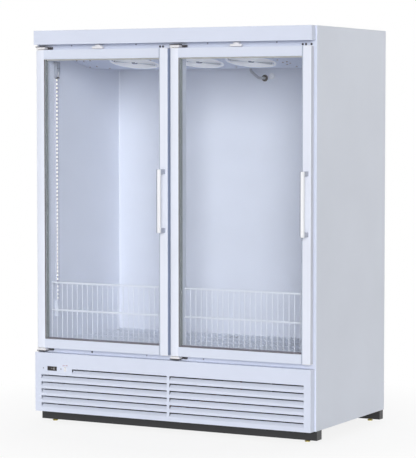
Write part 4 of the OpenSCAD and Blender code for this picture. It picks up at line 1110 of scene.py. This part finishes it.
def build_guards():
    """Round wire guards with cross ribs, a middle disc and screwed eyes."""
    wires, discs, screws = new_meshes(3)
    rings = int((GUARD_RADIUS - GUARD_DISC - 0.006) / GUARD_PITCH)
    edge = GUARD_DISC - 0.001
    disc_profile = [(edge, -0.004), (GUARD_DISC, -0.0032), (GUARD_DISC, -0.0008), (edge, -0.0004)]
    down = Vector((0, 0, -0.0026))
    eye_profile = [(0.0065, -0.003), (0.0065, -0.0004), (0.001, -0.0004), (0.001, -0.003)]
    for name in FANS:
        place = fan_place(name)
        normal = place.to_3x3() @ Vector((0, 0, -1))
        add_tube(wires, circle(place, GUARD_RADIUS - 0.002, -0.002), 0.002, 8, True)
        for k in range(1, rings + 1):
            ring = circle(place, GUARD_RADIUS - k * GUARD_PITCH, -GUARD_WIRE, 56)
            add_tube(wires, ring, GUARD_WIRE, 6, True)
        for turn in (45, 135, 225, 315):
            out = Vector((cos(radians(turn)), sin(radians(turn)), 0))
            add_tube(wires, [place @ (out * 0.006 + down), place @ (out * GUARD_RADIUS + down)], 0.0014)
            eye = place @ at(out * (GUARD_RADIUS - 0.006))
            add_lathe(wires, eye_profile, eye, 20)
            add_screw(screws, eye @ Vector((0, 0, -0.003)), normal, 0.0034, 0.0010)
        add_lathe(discs, disc_profile, place, 28)
    # guard wires in the finish with a painted glow
    add_piece("guard_wires", wires, node="fan_guards", finish="guard_coat_painted_glow")
    add_piece("guard_discs", discs, "coated_wire", finish="disc_grey")
    add_piece("guard_screws", screws, "screw_steel", finish="cover_screw")


COVER_SCREWS = (
    (-0.643, 0.268), (-0.609, 0.277), (-0.568, 0.268), (-0.653, 0.407), (-0.607, 0.394), (-0.562, 0.440),
    (-0.389, 0.259), (-0.253, 0.254), (-0.244, 0.275), (-0.382, 0.430), (-0.025, 0.440), (0.122, 0.440),
    (0.233, 0.262), (0.400, 0.260), (0.401, 0.304), (0.404, 0.354), (0.431, 0.340), (0.406, 0.396),
    (0.433, 0.372), (0.433, 0.440))


def build_cover():
    """Sloped fan cover with screws, placed by x and by depth from the cabinet's front."""
    soften("evaporator_cover", 0.0003, finish="cover_paint")
    joint = JOINTS["evaporator_fan_mid_spin"]
    normal = Vector(joint["axis"])
    if normal.z > 0:
        normal.negate()
    middle = Vector(joint["pos_m"])
    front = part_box("header")[0].y
    bm = bmesh.new()
    for x, depth in COVER_SCREWS:
        y = front + depth
        z = middle.z - (y - middle.y) * normal.y / normal.z
        add_screw(bm, (x, y, z), normal, 0.004, 0.0025)
    add_piece("cover_screws", bm, "screw_steel", finish="cover_screw")


def build_drain():
    """Drain hose from the cover to the back wall, its grommet and the cap beside it."""
    low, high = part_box("drain_tube")
    x1, x2 = low.x + HOSE_RADIUS, high.x - HOSE_RADIUS
    y, z = low.y + HOSE_RADIUS, low.z + HOSE_RADIUS
    points = [(x1, y, high.z), (x1, y, high.z - HOSE_DROP), (x2 - HOSE_END, y, z), (x2, y, z),
              (x2, high.y, z)]
    hose, grommet, cap = new_meshes(3)
    add_tube(hose, bend(points, HOSE_BEND, 10), HOSE_RADIUS, 16)
    add_piece("drain_hose", hose, node="drain_tube", smooth=60)
    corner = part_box("wall_fittings")[1]
    profile = [(HOSE_RADIUS, -0.001), (0.016, -0.001), (0.016, 0.003), (0.014, 0.0065), (0.011, 0.007),
               (0.0085, 0.0055), (HOSE_RADIUS, 0.005)]
    add_lathe(grommet, profile, facing(FRONT, (x2, corner.y, z)), 36)
    add_piece("hose_grommet", grommet, node="wall_fittings", finish="grommet_brown")
    profile = [(CAP_RADIUS, -0.001), (CAP_RADIUS, 0.002), (0.0128, 0.0036), (0.0105, 0.004), (0.0088, 0.003),
               (0.0075, 0.0020), (0.001, 0.0018)]
    add_lathe(cap, profile, facing(FRONT, (corner.x - CAP_RADIUS, corner.y, corner.z - CAP_RADIUS)), 36)
    add_piece("hole_cap", cap, "white_plastic", finish="cap_white")


def build_lamps():
    """Light bars on the walls: a channel, a board with lit chips and a clear lens."""
    low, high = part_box("led_tubes")
    y = (low.y + high.y) / 2
    half = (high.y - low.y) / 2
    groove = half - CHANNEL_WALL
    thick, wide, tall = LAMP_CHIP
    chip_places = range(int((high.z - low.z - 0.02) / LAMP_PITCH) + 1)
    channels, boards, chips, lenses = new_meshes(4)
    for side in (-1, 1):
        back = side * high.x
        floor = back - side * CHANNEL_WALL
        inner = back - side * half
        face = back - side * half * BOARD_SHARE
        outline = [(back, y - half), (inner, y - half), (inner, y - groove), (floor, y - groove),
                   (floor, y + groove), (inner, y + groove), (inner, y + half), (back, y + half)]
        add_prism(channels, outline, "z", low.z, high.z)
        add_box(boards, (face + side * 0.0016, y - half + 0.0015, low.z + 0.002),
                (face, y + half - 0.0015, high.z - 0.002), 0.0002, 1)
        for k in chip_places:
            z = low.z + LAMP_START + k * LAMP_PITCH
            add_box(chips, (face + side * 0.0002, y - wide / 2, z - tall / 2),
                    (face - side * thick, y + wide / 2, z + tall / 2), 0.0004)
        outer = [(inner - side * b, y + a) for a, b in arc((0, 0), half - 0.0001, 0, 180, 14)]
        hollow = [(inner - side * b, y + a) for a, b in arc((0, 0), half - LENS_WALL, 180, 0, 14)]
        add_prism(lenses, outer + hollow, "z", low.z, high.z)
    add_piece("lamp_channels", channels, "holder_grey", node="led_tubes", finish="channel_metal")
    add_piece("lamp_boards", boards, "lamp_diffuser", finish="lamp_strip")
    add_piece("lamp_chips", chips, "lamp_diffuser", finish="lamp_lit")
    add_piece("lamp_lenses", lenses, "lamp_diffuser")
    build_lamp_ends(low.z, high.z, y)


def build_lamp_ends(bottom, top, y):
    """Holders with two screws; the upper ones have a pale latch and a dark connector."""
    middle = (bottom + top) / 2
    holders = (("upper", 1, "led_holders", "holder_grey"), ("lower", -1, None, "liner_paint"))
    for name, up, node, finish in holders:
        bm = node_mesh("led_holders")
        others = [vert for vert in bm.verts if (vert.co.z - middle) * up < 0]
        bmesh.ops.delete(bm, geom=others, context="VERTS")
        round_edges(bm, 0.0022, 3)
        add_piece(name + "_holders", bm, "holder_grey", node=node, finish=finish, even=True)
    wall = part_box("led_holders")[1].x
    face = wall - HOLDER_DEPTH
    tip = wall - HOLDER_TIP
    foot, head = top + LATCH_FOOT, top + LATCH_HEAD
    screws, lower, latches, plugs = new_meshes(4)
    for side in (-1, 1):
        for bolts, z in ((screws, top + HOLDER_SCREW), (lower, bottom - HOLDER_SCREW)):
            for off in (-SCREW_OFFSET, SCREW_OFFSET):
                add_screw(bolts, (side * face, y + off, z), (-side, 0, 0), 0.0028, 0.0008)
        slope = [(side * (tip - 0.001), foot), (side * (face - 0.0005), head),
                 (side * (face + 0.002), head), (side * (tip + 0.002), foot)]
        add_prism(latches, slope, "y", y - LATCH_HALF, y + LATCH_HALF)
        add_box(plugs, (side * (wall - 0.001), y - 0.0085, top - 0.003),
                (side * (face + 0.001), y + 0.0085, top + 0.0035), 0.0008)
    add_piece("holder_screws", screws, "screw_steel", finish="plug_dark")
    add_piece("lower_holder_screws", lower, "screw_steel", finish="painted_screw")
    add_piece("holder_latches", latches, "white_plastic")
    add_piece("lamp_connectors", plugs, "black_plastic", even=True)


def wire_places(inner, outer):
    """Places of wires across both halves of the cabinet, each half from inner to outer."""
    count = int((outer - inner - 2 * WIRE) / WIRE_PITCH)
    return [side * x for side in (-1, 1) for x in evenly(inner + WIRE, outer - WIRE, count)]


def build_fences():
    """Retainer fences of round uprights and flat rails with rounded edges."""
    low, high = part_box("retainer_fences")
    mid_y = (low.y + high.y) / 2
    uprights, rails = new_meshes(2)
    for x in wire_places(FENCE_INNER, high.x):
        add_tube(uprights, [(x, mid_y, low.z + 0.001), (x, mid_y, high.z - 0.001)], WIRE * 0.9)
    for side in (-1, 1):
        for z in (low.z, low.z - FENCE_LIFT + FENCE_MID, high.z - FENCE_RAIL):
            add_box(rails, (side * FENCE_INNER, low.y, z), (side * high.x, high.y, z + FENCE_RAIL), 0.0012)
    add_piece("fence_uprights", uprights, node="retainer_fences")
    add_piece("fence_rails", rails, "coated_wire", even=True)


def build_racks():
    """Floor racks: runners over cross rods, on small feet."""
    low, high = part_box("floor_racks")
    top = high.z - WIRE
    rod = top - 2 * WIRE
    runners, rods, feet = new_meshes(3)
    for x in wire_places(RACK_INNER, high.x):
        add_tube(runners, [(x, low.y, top), (x, high.y, top)], WIRE * 0.95)
    for side in (-1, 1):
        for y in evenly(low.y + WIRE, high.y - WIRE, 4):
            add_tube(rods, [(side * RACK_INNER, y, rod), (side * high.x, y, rod)], WIRE)
        for x in (side * 0.017, side * (high.x - 0.015)):
            for y in (low.y + RACK_FOOT_INSET, high.y - RACK_FOOT_INSET):
                add_lathe(feet, [(0.0055, low.z), (0.006, low.z + 0.001), (0.0055, rod)], at((x, y, 0)), 16)
    add_piece("rack_runners", runners, node="floor_racks")
    add_piece("rack_rods", rods, "coated_wire")
    add_piece("rack_feet", feet, "rubber")


# ---- base and machine compartment

def build_feet():
    """Brass levelling feet: a rounded pad, a chamfered hexagon and a threaded stem."""
    for end in ("front_left", "front_right", "rear_left", "rear_right"):
        name = "foot_" + end
        low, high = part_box(name)
        place = at(((low.x + high.x) / 2, (low.y + high.y) / 2, 0))
        pad = (high.x - low.x) / 2
        profile = [(pad - 0.0012, 0), (pad, 0.0012), (pad, 0.0038), (pad - 0.0014, 0.0052), (0.008, 0.0057)]
        bm = bmesh.new()
        add_lathe(bm, profile, place, 40)
        add_lathe(bm, [(0.0088, 0.0057), (0.0099, 0.0064), (0.0099, 0.0090), (0.0088, 0.0097)], place, 6)
        thread = []
        z = 0.0097
        while z < high.z - THREAD_END:
            thread += [(0.0054, z), (0.006, z + 0.0004), (0.006, z + 0.0008), (0.0054, z + 0.0012)]
            z += THREAD_PITCH
        add_lathe(bm, thread, place, 16)
        add_piece(name + "_brass", bm, node=name, smooth=30)


def build_machine():
    """Condensing unit and evaporator; what is hardly seen keeps the solids' shapes."""
    soften("condenser_shroud", 0.0008)
    soften("condensate_pan", 0.0008)
    soften("electrical_box", 0.0008, slot="holder_grey")
    soften("power_inlet", 0.0014, 3)
    for node in ("condenser_fan_motor", "compressor_grommets", "refrigerant_lines", "evaporator_motors",
                 "evaporator_coil"):
        dress(node)
    build_dust_mats()
    build_compressor()
    build_condenser()
    build_condenser_fan()


def build_dust_mats():
    """Dark woven mats that hang inside the rear grille's two banks of slots."""
    low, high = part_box("rear_grille")
    face = low.y - BACK_SETBACK - 0.0002
    wide, tall = MAT_SIZE
    bm = bmesh.new()
    for side in (-1, 1):
        middle = side * (high.x - low.x) / 4
        add_box(bm, (middle - wide / 2, face - MAT_THICK, low.z + MAT_RISE),
                (middle + wide / 2, face, low.z + MAT_RISE + tall), 0.0001, 1)
    add_piece("dust_mats", bm, "black_plastic", finish="mat_dark")


def build_compressor():
    """Compressor with the welded seam round its shell."""
    soften("compressor", 0.0012)
    low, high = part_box("compressor")
    x = JOINTS["condenser_fan_spin"]["pos_m"][0]
    middle = at((x, (low.y + high.y) / 2, (low.z + high.z) / 2))
    bm = bmesh.new()
    add_lathe(bm, [(0.084, -0.004), (0.0872, -0.003), (0.0872, 0.003), (0.084, 0.004)], middle, 64)
    add_piece("compressor_seam", bm, "black_steel")


def build_condenser():
    """Condenser: end plates, fins, tubes through them and return bends."""
    low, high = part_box("condenser_coil")
    right = high.x - COIL_BENDS
    first, last = low.x + COIL_PLATE + 0.002, right - COIL_PLATE - 0.002
    fins, tubes = new_meshes(2)
    for k in range(int((last - first) / FIN_PITCH) + 1):
        x = first + k * FIN_PITCH
        add_box(fins, (x, low.y + 0.004, low.z + 0.014), (x + FIN_WALL, high.y - 0.004, high.z - 0.004))
    for x in (low.x, right - COIL_PLATE):
        add_box(fins, (x, low.y, low.z), (x + COIL_PLATE, high.y, high.z), 0.0006)
    # fins in the black finish that is partly painted shade behind the louver slots
    add_piece("condenser_fins", fins, node="condenser_coil", finish="fins_black_and_shade")
    near, far = (low.y + high.y) / 2 - TUBE_GAP / 2, (low.y + high.y) / 2 + TUBE_GAP / 2
    z = low.z + TUBE_START
    while z < high.z - TUBE_GAP / 2:
        for y in (near, far):
            add_tube(tubes, [(low.x, y, z), (right, y, z)], 0.0046, 10)
        turn = right + BEND_REACH
        loop = [(right, near, z), (turn, near, z), (turn, far, z), (right, far, z)]
        add_tube(tubes, bend(loop, BEND_REACH), 0.0042, 10)
        z += TUBE_PITCH
    # tubes in the same black finish, partly painted shade
    add_piece("condenser_tubes", tubes, "copper", finish="fins_black_and_shade", smooth=60)


def build_condenser_fan():
    x, _, z = JOINTS["condenser_fan_spin"]["pos_m"]
    low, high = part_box("condenser_fan")
    place = at((x, high.y, z), pi / 2)
    depth = high.y - low.y
    hub = [(0.0042, 0), (CONDENSER_HUB - 0.001, 0), (CONDENSER_HUB, 0.001), (CONDENSER_HUB, depth - 0.003),
           (CONDENSER_HUB - 0.003, depth), (0.0042, depth)]
    bm = bmesh.new()
    add_lathe(bm, hub, place, 36)
    add_blades(bm, place, CONDENSER_HUB, CONDENSER_FAN_RADIUS, depth, 0)
    add_piece("condenser_rotor", bm, node="condenser_fan")


# ---- camera, light and floor

def build_camera():
    data = bpy.data.cameras.new("camera")
    data.sensor_width = SENSOR
    data.sensor_fit = "AUTO"
    data.lens = FOCAL_PIXELS * SENSOR / PHOTO_HEIGHT
    camera = add_object("camera", data)
    camera.location = CAMERA_PLACE
    camera.rotation_euler = (CAMERA_PITCH, 0, CAMERA_YAW)
    bpy.context.scene.camera = camera


def seen_directly(tree):
    """1 for rays that show the background: camera, mirror and glass rays."""
    path = add_node(tree, "LightPath").outputs
    seen = combine(tree, "MAXIMUM", path["Is Camera Ray"], path["Is Glossy Ray"])
    return combine(tree, "MAXIMUM", seen, path["Is Transmission Ray"])


def build_light():
    """Soft sky that looks white where it is seen directly, and wide suns."""
    world = bpy.data.worlds.new("studio")
    world.use_nodes = True
    bpy.context.scene.world = world
    tree = world.node_tree
    soft = tree.nodes["Background"]
    set_sockets(tree, soft, {"Color": (0.97, 0.98, 1.0, 1), "Strength": SKY})
    white = add_node(tree, "Background", {"Color": (1, 1, 1, 1), "Strength": 1.0})
    mix_surface(tree, seen_directly(tree), soft, white, "World Output")
    for name, (source, energy, angle) in SUNS.items():
        data = bpy.data.lights.new(name, "SUN")
        data.energy = energy
        data.angle = radians(angle)
        sun = add_object(name, data)
        sun.rotation_mode = "QUATERNION"
        sun.rotation_quaternion = Vector(source).to_track_quat("Z", "Y")


def floor_finish():
    """Pale floor that keeps a soft shadow near the feet and runs out to white."""
    tree, shader = new_material("studio_floor")
    place = add_node(tree, "NewGeometry").outputs["Position"]
    distance = add_node(tree, "VectorMath", {0: place}, operation="LENGTH").outputs["Value"]
    fade = remap(tree, distance, 0.86, 1.0, 0.8, 1.7)
    grains = noise(tree, 120.0, place=place)
    colour = drift(tree, grains, (0.83, 0.83, 0.84, 1), (0.86, 0.86, 0.87, 1))
    set_sockets(tree, shader, {"Base Color": colour, "Roughness": 0.8})
    glow = add_node(tree, "Emission", {"Color": (1, 1, 1, 1), "Strength": 1.0})
    mix_surface(tree, combine(tree, "MULTIPLY", fade, seen_directly(tree)), shader, glow)
    return MATERIALS["studio_floor"]


def build_floor():
    bm = bmesh.new()
    bmesh.ops.create_circle(bm, cap_ends=True, segments=96, radius=60.0)
    mesh = bpy.data.meshes.new("floor")
    bm.to_mesh(mesh)
    bm.free()
    mesh.materials.append(floor_finish())
    floor = add_object("floor", mesh)
    floor.location.z = -0.0002


build_camera()
build_shell()
build_foam()
build_back()
build_coves()
build_louvers()
build_controls()
build_screws()
for door_side in ("left", "right"):
    build_door(door_side)
build_hinges()
build_evaporator_fans()
build_guards()
build_cover()
build_drain()
build_lamps()
build_fences()
build_racks()
build_feet()
build_machine()
build_light()
build_floor()
bpy.context.scene.view_settings.view_transform = "Standard"
